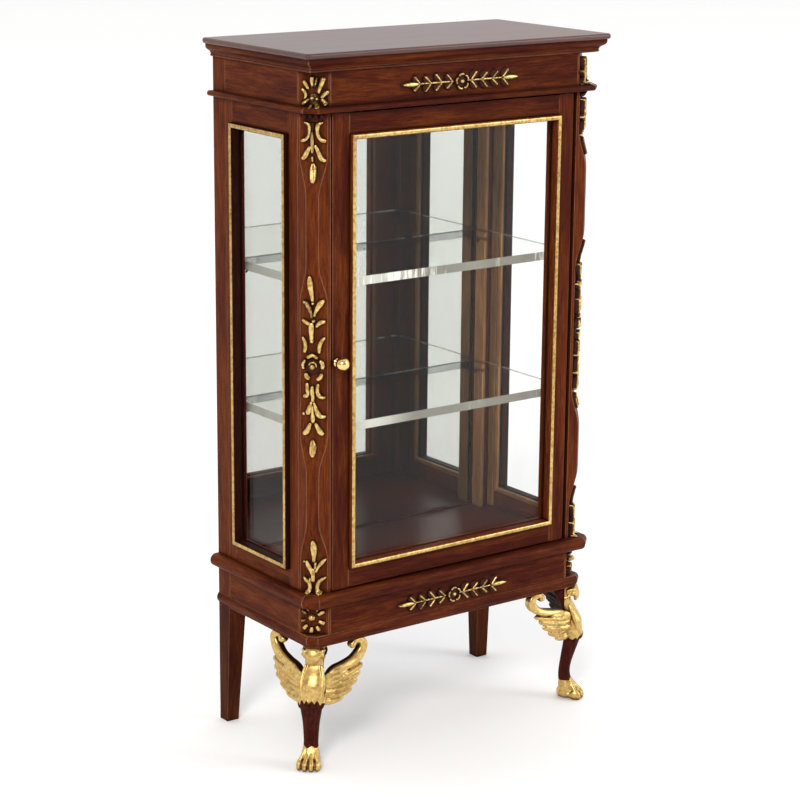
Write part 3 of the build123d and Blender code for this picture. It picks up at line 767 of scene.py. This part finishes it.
# Each leaf: depth of its groove, how gilt it is, and its stations
POST_LEAVES = (
    # shell on the top block
    (0, 1, (-0.26, 159.6, 0.7), (-0.3, 158.6, 0.9), (-0.15, 157.4, 0.35)),
    (0, 0.45, (0.75, 159.4, 0.5), (0.65, 158.5, 0.6), (0.35, 157.3, 0.3)),
    (0.1, 1, (2.3, 159.4, 0.9), (1.85, 158.2, 1.0), (1.4, 157.0, 0.75), (1.15, 155.9, 0.35)),
    (0, 0.85, (-2.1, 158.7, 0.6), (-1.6, 157.8, 0.8), (-1.0, 156.8, 0.4)),
    (0, 1, (3.4, 156.5, 0.7), (2.5, 155.8, 0.8), (1.75, 154.9, 0.6)),
    (0, 1, (3.0, 153.7, 0.6), (2.4, 154.2, 0.7), (1.75, 154.8, 0.6)),
    (0, 0.85, (-2.5, 157.0, 0.5), (-1.9, 156.3, 0.6), (-1.6, 155.5, 0.55), (-1.9, 154.7, 0.3)),
    (0, 0.7, (-2.4, 153.8, 0.45), (-1.6, 154.2, 0.5), (-0.9, 154.8, 0.3)),
    (0, 1, (1.3, 152.9, 0.8), (1.0, 153.4, 0.7), (0.6, 153.9, 0.4)),
    (0, 0.5, (-0.5, 152.9, 0.6), (-0.25, 153.6, 0.45)),
    # top spray
    (0.10, 1, *CURL),
    (0.10, 0.62, *((0.1 - u, v, width) for u, v, width in CURL)),
    (0.5, 0.8, (-0.25, 147.7, 0.2), (-0.25, 146.4, 0.5), (-0.2, 144.8, 0.7), (-0.2, 142.9, 0.4)),
    (0.10, 1, (0.3, 144.9, 0.5), (0.74, 144.05, 0.65), (1.2, 143.05, 0.8), (1.6, 142.15, 1.05),
     (2.2, 141.6, 0.9), (2.9, 141.45, 0.4)),
    (0.35, 1, (-0.6, 144.5, 0.5), (-1.0, 143.8, 0.8), (-1.45, 143.0, 1.05), (-1.9, 142.2, 1.0),
     (-2.5, 141.6, 0.5)),
    (0.45, 1, (0.05, 141.0, 0.35), (0.05, 140.0, 1.35), (0.07, 138.7, 1.6), (0.07, 137.4, 1.25),
     (0.05, 136.5, 0.3)),
    # middle spray, upper half
    (0.22, 1, (-0.6, 116.2, 0.2), (-0.6, 114.8, 1.25), (-0.5, 113.1, 1.25), (-0.27, 111.4, 0.75),
     (-0.15, 110.0, 0.5)),
    (0.12, 1, (0.12, 106.6, 0.35), (0.42, 107.6, 0.55), (1.0, 108.8, 1.1), (1.66, 109.8, 1.35),
     (2.4, 110.6, 0.5)),
    (0.40, 0.6, (-0.3, 106.3, 0.4), (-0.52, 107.5, 0.7), (-1.0, 108.7, 1.2), (-1.5, 109.6, 1.2),
     (-2.35, 110.2, 0.45)),
    (0, 1, (0.6, 104.3, 0.4), (1.15, 105.1, 0.9), (1.9, 105.6, 1.0), (2.7, 105.8, 0.5)),
    (0, 1, (-0.8, 104.9, 0.6), (-1.4, 105.3, 0.85), (-1.9, 105.6, 0.8), (-2.5, 106.1, 0.45)),
    (0.15, 1, (-0.4, 105.4, 1.1), (-0.5, 103.8, 1.2), (-0.42, 102.3, 0.95), (-0.4, 101.3, 0.9)),
    (0, 1, (2.6, 102.2, 0.45), (1.96, 101.4, 0.75), (1.44, 100.4, 0.85), (1.3, 99.4, 0.85),
     (1.3, 98.4, 0.55)),
    (0, 1, (-2.5, 102.2, 0.45), (-1.95, 101.1, 0.7), (-1.75, 100.2, 0.8), (-1.85, 99.2, 0.7),
     (-2.0, 98.5, 0.5)),
    # rose and lower half
    (0, 0.75, (-1.45, 97.3, 0.7), (-0.2, 98.0, 0.85), (1.0, 97.25, 0.7)),
    (0, 1, (1.4, 96.9, 0.6), (2.05, 96.0, 0.9), (1.95, 94.9, 0.7)),
    (0, 0.6, (-1.8, 96.9, 0.6), (-2.4, 95.9, 0.8), (-2.2, 94.8, 0.6)),
    (0, 1, (-1.75, 93.9, 0.6), (-1.5, 93.1, 1.05), (-0.9, 92.5, 0.7)),
    (0, 1, (1.9, 93.9, 0.6), (1.5, 92.9, 0.95), (0.7, 92.4, 0.7)),
    (0, 0.6, (-1.0, 95.6, 0.25), (-0.7, 96.2, 0.4), (0.0, 96.4, 0.4), (0.6, 96.0, 0.4), (0.7, 95.2, 0.25)),
    (0, 1, (-1.5, 91.8, 0.45), (-1.35, 90.1, 0.85), (-1.25, 89.3, 0.85), (-1.6, 88.6, 0.85),
     (-2.3, 88.8, 0.8)),
    (0, 1, (1.05, 91.6, 0.45), (0.85, 90.1, 0.8), (1.0, 89.2, 0.85), (1.6, 88.5, 0.8), (2.7, 88.4, 0.45)),
    (0.35, 1, (-0.3, 91.0, 0.5), (-0.28, 89.6, 0.95), (-0.15, 88.1, 0.65), (-0.2, 87.2, 0.6)),
    (0.12, 1, (-0.4, 87.5, 0.35), (-0.8, 86.1, 0.95), (-1.15, 85.0, 1.3), (-1.25, 84.3, 0.6)),
    (0.10, 1, (-0.05, 87.4, 0.35), (0.33, 86.35, 0.55), (0.75, 85.1, 1.1), (1.15, 84.4, 1.2),
     (1.8, 84.0, 1.0), (2.8, 84.1, 0.35)),
    (0, 1, (-0.27, 86.6, 0.5), (-0.2, 84.9, 0.6), (-0.14, 83.6, 1.05), (-0.14, 82.4, 0.5)),
    (0.15, 1, (-0.6, 82.6, 0.45), (-1.15, 81.2, 1.0), (-1.7, 80.25, 1.3), (-2.4, 79.9, 0.55)),
    (0.15, 1, (0.3, 82.6, 0.45), (1.0, 81.3, 0.95), (1.6, 80.35, 1.3), (2.35, 79.9, 0.55)),
    # bottom spray
    (0.35, 1, (-0.1, 55.2, 0.3), (0.05, 53.9, 1.55), (0.1, 52.3, 1.5), (0.07, 50.9, 0.8), (0.0, 49.6, 0.5)),
    (0, 1, (0.42, 49.8, 0.5), (0.35, 48.2, 0.45)),
    (0, 1, (2.85, 50.8, 0.3), (2.0, 49.9, 0.85), (1.05, 48.7, 0.65), (0.4, 47.2, 0.4)),
    (0.25, 1, (-1.7, 50.1, 0.4), (-1.2, 48.9, 1.1), (-0.65, 47.9, 0.85), (-0.3, 46.6, 0.5)),
    (0.45, 1, (-0.1, 48.3, 0.6), (-0.15, 46.6, 0.85), (-0.2, 44.9, 0.6)),
    (0, 1, (2.85, 46.4, 0.3), (2.0, 45.8, 0.75), (1.3, 45.2, 0.85), (0.95, 44.4, 0.9), (0.78, 43.5, 0.9),
     (1.1, 42.85, 0.85), (2.0, 42.7, 0.5)),
    (0, 1, (-2.35, 46.3, 0.3), (-1.7, 45.4, 0.75), (-1.15, 44.9, 0.95), (-0.9, 44.2, 0.9),
     (-0.85, 43.5, 0.9), (-1.2, 42.85, 0.8), (-1.9, 42.75, 0.45)),
    (0, 1, (-0.75, 46.0, 0.3), (-1.0, 45.0, 0.6)),
)
POST_LEAF_HEIGHT = 0.9
# Leaves of other heights: the height, then as above
POST_OTHER_LEAVES = (
    (0.6, 0, 0.2, (-0.15, 149.6, 0.9), (-0.15, 148.6, 0.75), (-0.2, 147.6, 0.4)),
    (0.7, 0, 0.6, (-0.2, 142.3, 0.5), (-0.1, 141.1, 0.45)),
    (0.7, 0, 1, (-0.2, 78.6, 0.3), (-0.15, 77.3, 1.6), (-0.12, 76.0, 1.7), (-0.1, 74.6, 0.4)),
    (1.0, 0, 1, (-0.25, 78.6, 0.3), (-0.5, 77.5, 0.45), (-0.55, 76.3, 0.42), (-0.45, 75.2, 0.3)),
    (1.0, 0, 1, (-0.15, 78.6, 0.35), (0.4, 77.2, 0.4)),
)
# Each knob: its centre, radius, height and how gilt it is
POST_KNOBS = (
    ((0.15, 154.8), 1.25, 0.6, 0.35),
    ((-0.3, 154.9), 0.55, 1.15, 1),
    ((0.75, 154.7), 0.45, 0.9, 0.6),
    ((-0.14, 109.7), 0.42, 0.9, 1),
    ((0.0, 105.7), 0.42, 0.9, 1),
    ((-0.4, 101.1), 0.55, 0.9, 1),
    ((-0.2, 95.3), 1.85, 0.40, 0.1),
    ((-0.25, 95.3), 0.75, 1.1, 0.8),
    ((-2.2, 84.5), 0.45, 0.7, 1),
    ((-2.15, 49.8), 0.32, 0.6, 1),
)
# Knobs of the collar under the shell, all at one height
POST_COLLAR = (-1.9, -0.65, 0.65, 1.9)
# Rosette on the lower block: an angle and two radii for each petal of the bright and of the dull rows
BLOCK_ROSETTE = (-0.3, 36.2)
BLOCK_BRIGHT = ((35, 1.5, 3.2), (-22, 1.5, 3.0), (-62, 2.0, 3.4), (-95, 2.1, 3.6), (-128, 2.0, 3.4))
BLOCK_DULL = ((195, 1.7, 2.8), (145, 1.7, 3.0), (62, 1.9, 2.9), (118, 1.9, 2.9))


def post_spray(hand_name, hand):
    """All the carving up one corner post."""
    depths = post_ground("post_front_" + hand_name, hand)
    outward, sideways = corner_ways(hand)
    corner = Vector((hand * side, front, 0))
    lift, fade = POST_CARVING[hand_name]

    def place(u, v, h):
        spot = min(max(v - GROUND_LOW, 0), GROUND_HIGH - GROUND_LOW - 0.001)
        low = int(spot)
        depth = depths[low] + (depths[low + 1] - depths[low]) * (spot - low)
        bud = max(ramp(v, foot - 1, foot) * (1 - ramp(v, tip, tip + 1)) for foot, tip in POST_BUDS)
        rise = h * (bud + lift * (1 - bud))
        return corner - outward * depth + sideways * u * MM + outward * rise * MM + Vector((0, 0, v * MM))

    relief = Relief(place, fade)
    leaves = [(POST_LEAF_HEIGHT, *leaf) for leaf in POST_LEAVES]
    for height, groove, gilt, *stations in leaves + list(POST_OTHER_LEAVES):
        line = [(u, v) for u, v, width in stations]
        relief.frond(line, [width for u, v, width in stations], height, groove, gilt)
    for centre, radius, height, gilt in POST_KNOBS:
        relief.boss(centre, radius, height, gilt)
    for u in POST_COLLAR:
        relief.boss((u, 150.9), 0.55, 0.75, gilt=0.12)
    relief.star(BLOCK_ROSETTE, BLOCK_BRIGHT, 0.9, 0.8, gilt=0.85)
    relief.star(BLOCK_ROSETTE, BLOCK_DULL, 0.7, 0.7, gilt=0.5)
    relief.boss((-0.5, 36.3), 0.85, 1.1)
    piece = relief.piece("carved_post_" + hand_name)
    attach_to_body(piece, "case")
    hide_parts("post_carving_" + hand_name)


for hand_name, hand in HANDS:
    post_spray(hand_name, hand)


# ---- griffin legs
CLAY_VOXEL = 0.13
LEG_CORNER = Vector((side - 0.2 * MM, front + 0.2 * MM, 0))
APRON_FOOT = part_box("front_leg_right")[1].z


class Clay:
    """Closed lumps in a frame of their own, in mm, merged into one skin by remeshing."""

    def __init__(self):
        self.mesh = bmesh.new()

    def blob(self, centre, radii, lean=0.0):
        """An ellipsoid, leant about the frame's second axis by an angle in degrees."""
        turn = Matrix.Rotation(math.radians(lean), 4, "Y")
        shape = Matrix.Translation(centre) @ turn @ Matrix.Diagonal((*radii, 1))
        bmesh.ops.create_icosphere(self.mesh, subdivisions=3, radius=1, matrix=shape)

    def rings(self, rings):
        """A skin through rings of points, closed at both ends."""
        made = [[self.mesh.verts.new(spot) for spot in ring] for ring in rings]
        count = len(made[0])
        for low, high in zip(made, made[1:]):
            for k in range(count):
                self.mesh.faces.new((low[k], low[(k + 1) % count], high[(k + 1) % count], high[k]))
        self.mesh.faces.new(made[0][::-1])
        self.mesh.faces.new(made[-1])

    def rope(self, path, widths, thicknesses, steps=24, square=1.0):
        """A tube along the path. Its thickness lies along the frame's second axis, its width across that."""
        path = [Vector(spot) for spot in path]
        level = Vector((0, 1, 0))
        rings = []
        for number in range(steps + 1):
            share = number / steps
            here = through(path, share)
            ahead = (through(path, min(share + 0.01, 1)) - through(path, max(share - 0.01, 0))).normalized()
            across = ahead.cross(level).normalized()
            over = across.cross(ahead).normalized()
            wide, thick = through(widths, share) / 2, through(thicknesses, share) / 2
            rings.append([here + across * wide * c + over * thick * s for c, s in squared_circle(16, square)])
        self.rings(rings)

    def skin(self):
        """The merged and smoothed skin: its points, normals and faces."""
        bmesh.ops.recalc_face_normals(self.mesh, faces=self.mesh.faces)
        mesh = bpy.data.meshes.new("clay")
        self.mesh.to_mesh(mesh)
        self.mesh.free()
        lump = show("clay", mesh)
        merge = lump.modifiers.new("merge", "REMESH")
        merge.mode, merge.voxel_size = "VOXEL", CLAY_VOXEL
        soft = lump.modifiers.new("soft", "SMOOTH")
        soft.factor, soft.iterations = 0.5, 3
        done = lump.evaluated_get(bpy.context.evaluated_depsgraph_get()).to_mesh()
        points = [v.co.copy() for v in done.vertices]
        normals = [v.normal.copy() for v in done.vertices]
        faces = [tuple(p.vertices) for p in done.polygons]
        bpy.data.objects.remove(lump)
        return points, normals, faces


def skin_piece(name, parts, material):
    """One piece from placed skins. A part is points, faces and gild values, and whether it is mirrored."""
    points, faces, gild = [], [], []
    for part_points, part_faces, part_gild, mirrored in parts:
        start = len(points)
        points += part_points
        gild += part_gild
        faces += [tuple(start + k for k in (face[::-1] if mirrored else face)) for face in part_faces]
    return gilded_piece(name, points, faces, gild, material)


# Leg outline in mm: height, how far out its front and its back are, and half its width
LEG_RINGS = (
    (29.6, -1.9, -6.6, 2.5), (28.0, -1.9, -6.4, 2.4), (26.4, -1.9, -5.6, 2.2),
    (24.8, -1.7, -4.6, 2.15), (23.0, -0.3, -4.1, 2.3), (21.0, 0.8, -3.8, 2.65),
    (19.2, 1.05, -3.5, 2.9), (17.6, 1.15, -3.3, 2.9), (16.0, 0.75, -3.3, 2.8),
    (13.8, 0.05, -3.6, 2.4), (11.0, -0.85, -4.0, 2.0), (8.8, -1.45, -4.3, 1.85),
    (6.8, -1.65, -4.5, 1.72), (5.2, -1.35, -4.5, 1.72), (3.8, -0.6, -4.5, 2.0),
    (2.2, 0.1, -4.5, 2.3), (0.6, 0.2, -4.3, 2.3),
)
LEG_STEPS = 60
# Ropes of clay on both sides of the leg in mm: the path, and the widths and thicknesses along it
LEG_ROPES = (
    # brow, cheek feathers and collar
    ([(-0.6, 1.7, 28.6), (-1.3, 2.2, 28.9), (-2.8, 2.5, 28.6)], [0.7, 0.9, 0.5], [0.7, 0.8, 0.5]),
    ([(-3.4, 2.3, 29.3), (-4.3, 2.5, 28.4), (-4.0, 2.4, 27.4), (-3.4, 2.4, 27.7)],
     [0.7, 0.8, 0.7, 0.5], [0.7, 0.8, 0.7, 0.5]),
    ([(-1.7, 2.1, 27.4), (-3.2, 2.25, 26.7), (-4.6, 1.9, 27.2)], [0.4, 0.8, 0.4], [0.4, 0.7, 0.4]),
    # strap of feathers from the neck to the edge of the chest, and the feathers under it
    ([(-2.1, 1.8, 25.0), (-1.3, 2.3, 23.0), (-0.2, 2.6, 20.4), (0.45, 2.1, 18.0), (0.45, 1.4, 16.2)],
     [0.7, 1.0, 1.1, 1.0, 0.5], [0.6, 0.9, 1.0, 1.0, 0.5]),
    ([(-2.9, 2.2, 19.6), (-1.9, 2.7, 17.7), (-0.8, 2.7, 16.0), (-0.5, 2.5, 15.0)],
     [0.7, 1.2, 1.3, 0.5], [0.7, 0.9, 0.9, 0.4]),
    ([(-0.6, 1.3, 19.6), (0.9, 0.55, 17.2), (0.75, 0.45, 15.7)], [0.5, 1.0, 0.4], [0.6, 0.8, 0.4]),
)


def leg_skin():
    """A griffin's head, chest, leg and paw. The frame's axes run outward, sideways and up."""
    clay = Clay()
    outline = [Vector(ring) for ring in LEG_RINGS]
    rings = []
    for number in range(LEG_STEPS + 1):
        z, ahead, behind, half = through(outline, number / LEG_STEPS)
        middle, reach = (ahead + behind) / 2, (ahead - behind) / 2
        rings.append([(middle + reach * c, half * s, z) for c, s in squared_circle(28, 0.8)])
    clay.rings(rings)
    # skull, hooked beak and eyes
    clay.blob((-2.2, 0, 28.3), (2.2, 2.55, 1.7))
    beak = [(-1.5, 0, 28.8), (-0.9, 0, 28.1), (-0.6, 0, 27.2), (-0.6, 0, 26.3), (-0.9, 0, 25.6)]
    clay.rope(beak, [2.2, 2.0, 1.7, 1.2, 0.5], [4.6, 4.3, 3.4, 2.0, 0.8], steps=16)
    for way in (-1, 1):
        clay.blob((-1.1, way * 2.25, 28.0), (0.52, 0.42, 0.52))
        for path, widths, thicknesses in LEG_ROPES:
            clay.rope([(a, way * b, z) for a, b, z in path], widths, thicknesses)
    # paw
    for b, a in ((-2.15, 0.35), (-0.75, 0.85), (0.75, 0.85), (2.15, 0.35)):
        clay.blob((a - 0.5, b, 1.25), (1.45, 0.80, 1.25))
        clay.blob((a + 0.35, b, 0.75), (0.75, 0.62, 0.72))
        sinew = [(a - 0.3, b, 2.0), (-1.0, 0.62 * b, 3.6), (-1.8, 0.45 * b, 5.1)]
        clay.rope(sinew, [1.1, 0.95, 0.5], [1.1, 0.9, 0.5])
    clay.blob((-3.6, 0, 1.5), (1.3, 2.2, 1.5))
    clay.blob((-1.8, 0, 1.3), (2.7, 2.5, 1.3))
    return clay.skin()


def leg_gild(spot, normal):
    """How gilt the leg is at a place: head, chest down to its feather tips, and paw."""
    a, b, z = spot
    tips = 15.7 + 0.9 * abs(math.sin(2.6 * b + 0.4)) + 0.9 * ramp(a, -0.5, 1.0)
    chest = ramp(z, tips - 0.15, tips + 0.15) * ramp(a, -3.9, -3.2)
    chest *= 1.0 - ramp(z, 21.5, 23.0) * ramp(-a, 3.0, 3.5)
    paw = ramp(-z, -5.2 - 0.25 * math.sin(3.0 * b), -4.9 - 0.25 * math.sin(3.0 * b))
    hollow = 1.0 if normal.z > -0.75 or z < 8 else 0.5
    return max(chest * hollow, paw)


# Wing in its own frame, in mm: along the apron from the leg, and up
WING_FEATHERS = (
    ((0.0, 16.7), (2.2, 15.8), (5.0, 16.3)),
    ((0.4, 17.9), (3.6, 17.1), (7.2, 17.9)),
    ((0.8, 19.1), (4.6, 18.5), (8.8, 19.6)),
    ((1.6, 20.3), (5.4, 20.0), (9.8, 21.2)),
    ((3.0, 21.6), (6.8, 21.6), (10.9, 22.9)),
)
WING_COVERTS = (
    ((0.6, 18.6), (2.2, 18.2), (3.8, 18.5)),
    ((0.9, 19.7), (2.8, 19.5), (4.8, 20.1)),
    ((1.4, 20.8), (3.4, 20.8), (5.6, 21.5)),
    ((2.2, 21.9), (4.2, 22.1), (6.6, 22.8)),
)
WING_BAND = (
    (1.2, 20.9), (3.6, 23.0), (6.6, 23.7), (9.4, 24.4), (11.4, 25.9), (12.3, 27.6), (11.6, 28.9),
    (10.2, 29.2), (9.2, 28.7),
)


def wing_skin():
    """A wing of overlapping feathers. The frame's axes run along the apron, outward and up."""
    clay = Clay()
    for number, line in enumerate(WING_FEATHERS):
        path = [(s, 0.15 - 0.12 * number, z) for s, z in line]
        path.append((line[2][0] + 0.5, path[2][1] - 0.1, line[2][1] + 0.25))
        clay.rope(path, [1.5, 1.9, 1.5, 0.3], [1.3, 1.5, 1.1, 0.5])
        spine = [(s, path[0][1] + 0.62, z + 0.18) for s, z in line]
        clay.rope(spine, [0.3, 0.5, 0.3], [0.4, 0.5, 0.3])
    for number, line in enumerate(WING_COVERTS):
        clay.rope([(s, 0.55 - 0.08 * number, z) for s, z in line], [0.9, 1.35, 0.7], [0.8, 1.2, 0.6])
    clay.blob((2.3, 0.1, 20.6), (2.6, 0.75, 2.3), lean=-35)
    clay.blob((4.4, 0.0, 21.6), (3.0, 0.6, 1.7), lean=-20)
    # band that sweeps up and curls in under the apron
    band = [(s, -0.45, z) for s, z in WING_BAND]
    clay.rope(band, [0.9, 1.7, 2.0, 2.3, 2.4, 2.2, 1.9, 1.5, 1.1], [1.6] + [2.4] * 8, steps=40, square=0.6)
    clay.blob((9.2, -0.3, 28.3), (0.95, 1.25, 0.95))
    return clay.skin()


def wing_gild(spot, normal):
    """Gilt on the outward face and the feather tips, bare on the upper edge and behind."""
    s, t, z = spot
    bare = ramp(-normal.y, -0.30, 0.05) * ramp(normal.z - 0.5 * normal.x, -0.1, 0.3)
    return max(1.0 - max(bare, ramp(-normal.y, 0.35, 0.75)), 0.0)


leg_points, leg_normals, leg_faces = leg_skin()
leg_values = [leg_gild(spot, normal) for spot, normal in zip(leg_points, leg_normals)]
wing_points, wing_normals, wing_faces = wing_skin()
wing_values = [wing_gild(spot, normal) for spot, normal in zip(wing_points, wing_normals)]
# Where a wing starts along the apron, how far in its face is and how far in it is tucked at the leg
WING_START = 2.6 * MM
WING_FACE = 0.65 * MM
WING_TUCK = 0.9 * MM
# How far the foot of a wing is splayed and raised, and the heights in mm between which that fades
WING_SPLAY = 1.4 * MM
WING_RISE = {"left": 0.3 * MM, "right": 1.3 * MM}
SPLAY_FADE = (20, 27)
# The left griffin leans sideways, by mm at its paw and less up its chest, and one of its wings is longer
LEG_LEAN = {"left": -0.8, "right": 0.0}
LEAN_FADE = (5, 25)
SIDE_WING_REACH = {"left": 1.13, "right": 1.0}


def griffin(hand_name, hand):
    outward, sideways = corner_ways(hand)
    corner = Vector((hand * LEG_CORNER.x, LEG_CORNER.y, 0))
    placed = []
    for a, b, z in leg_points:
        b += LEG_LEAN[hand_name] * (1 - ramp(z, *LEAN_FADE))
        up = Vector((0, 0, max(min(z * MM, APRON_FOOT), 0)))
        placed.append(corner + outward * a * MM + sideways * b * MM + up)
    leg = skin_piece("griffin_leg_" + hand_name, [(placed, leg_faces, leg_values, hand > 0)], carved_leg)
    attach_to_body(leg, "case")
    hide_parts("front_leg_" + hand_name)
    along_front, along_side = [], []
    for s, t, z in wing_points:
        low = 1 - ramp(z, *SPLAY_FADE)
        tuck = WING_TUCK * math.exp(-max(s, 0) / 2.5)
        depth = WING_FACE - t * MM - tuck - WING_SPLAY * ramp(s, 1, 7) * low
        up = min(z * MM + WING_RISE[hand_name] * low, APRON_FOOT)
        reach = WING_START + s * SIDE_WING_REACH[hand_name] * MM
        along_front.append(Vector((hand * (side - WING_START - s * MM), front + depth, up)))
        along_side.append(Vector((hand * (side - depth), front + reach, up)))
    parts = [(along_front, hand < 0), (along_side, hand > 0)]
    parts = [(placed, wing_faces, wing_values, mirrored) for placed, mirrored in parts]
    wings = skin_piece("griffin_wings_" + hand_name, parts, carved_wing)
    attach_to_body(wings, "case")
    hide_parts("wings_" + hand_name)


rubbed = {"ragged": 0.05, "mottled": 0.28, "hollows": 1.5}
carved_leg = gilt_carving("carved_leg", (STAIN_DARK, STAIN_RED), sheen=0.04, gloss=0.25, grime=0.95, **rubbed)
carved_wing = gilt_carving("carved_wing", (STAIN_PORE, STAIN_DARK), grime=0.96, **rubbed)
for hand_name, hand in HANDS:
    griffin(hand_name, hand)


# ---- softened corners on the boards
BOARD_ROUND = 0.15 * MM
STILE_ROUND = 0.28 * MM
WELD_REACH = 0.002 * MM
SHARP = math.radians(40)


def soften(name, width):
    """Rounds the corners of a CAD node a little, once its faces are joined."""
    piece = nodes[name]
    weld = piece.modifiers.new("weld", "WELD")
    weld.merge_threshold = WELD_REACH
    edge = piece.modifiers.new("soft_edge", "BEVEL")
    edge.width, edge.segments = width, 2
    edge.limit_method, edge.angle_limit = "ANGLE", SHARP
    edge.harden_normals = True


for name in ("frieze_front", "apron_front", *pair("frieze", "apron"), *door_rails, *side_stiles, *side_rails):
    soften(name, BOARD_ROUND)
for name in door_stiles:
    soften(name, STILE_ROUND)


# ---- studio
def area_light(name, place, size, power, tint):
    data = bpy.data.lights.new(name, "AREA")
    data.shape = "RECTANGLE"
    data.size, data.size_y = size
    data.energy = power
    data.color = tint
    lamp = show(name, data)
    lamp.location = place
    lamp.rotation_mode = "QUATERNION"
    lamp.rotation_quaternion = (LAMP_AIM - Vector(place)).to_track_quat("-Z", "Y")


# Each lamp: name, place, width and height, power and colour
LAMPS = (
    ("key", (-1.6, -1.45, 1.5), (0.8, 0.8), 38, (1, 0.95, 0.88)),
    ("fill", (1.7, -1.7, 1.0), (0.9, 1.2), 20, (0.95, 0.97, 1)),
)
LAMP_AIM = Vector((0, 0, 0.08))
FLOOR_SIDE = 20
FLOOR_WHITE = (0.93, 0.93, 0.93, 1)
FLOOR_GLOW = 0.07
# The studio's walls are brighter behind and to the right of the piece
STUDIO_BRIGHT_WAY = (0.59, 0.81, 0)
STUDIO_BRIGHT = 1.12
STUDIO_DIM = 0.45


def make_studio():
    world = bpy.data.worlds.new("studio")
    bpy.context.scene.world = world
    world.use_nodes = True
    tree = world.node_tree
    way = add(tree, "TexCoord").outputs["Generated"]
    ways = {0: way, 1: STUDIO_BRIGHT_WAY}
    beyond = add(tree, "VectorMath", ways, operation="DOT_PRODUCT").outputs["Value"]
    strength = spread(tree, step(tree, beyond, -0.5, 0.15), STUDIO_DIM, STUDIO_BRIGHT)
    tree.links.new(strength, tree.nodes["Background"].inputs["Strength"])
    tree.nodes["Background"].inputs["Color"].default_value = (1, 1, 1, 1)
    for lamp in LAMPS:
        area_light(*lamp)
    bpy.ops.mesh.primitive_plane_add(size=FLOOR_SIDE, location=(0, 0, 0))
    floor = bpy.context.object
    floor.name = "floor"
    material, tree, shader = new_material("floor")
    attach(tree, shader, {
        "Base Color": FLOOR_WHITE,
        "Roughness": 0.7,
        "Emission Color": (1, 1, 1, 1),
        "Emission Strength": FLOOR_GLOW,
    })
    floor.data.materials.append(material)
    bpy.context.scene.view_settings.view_transform = "Standard"


make_studio()
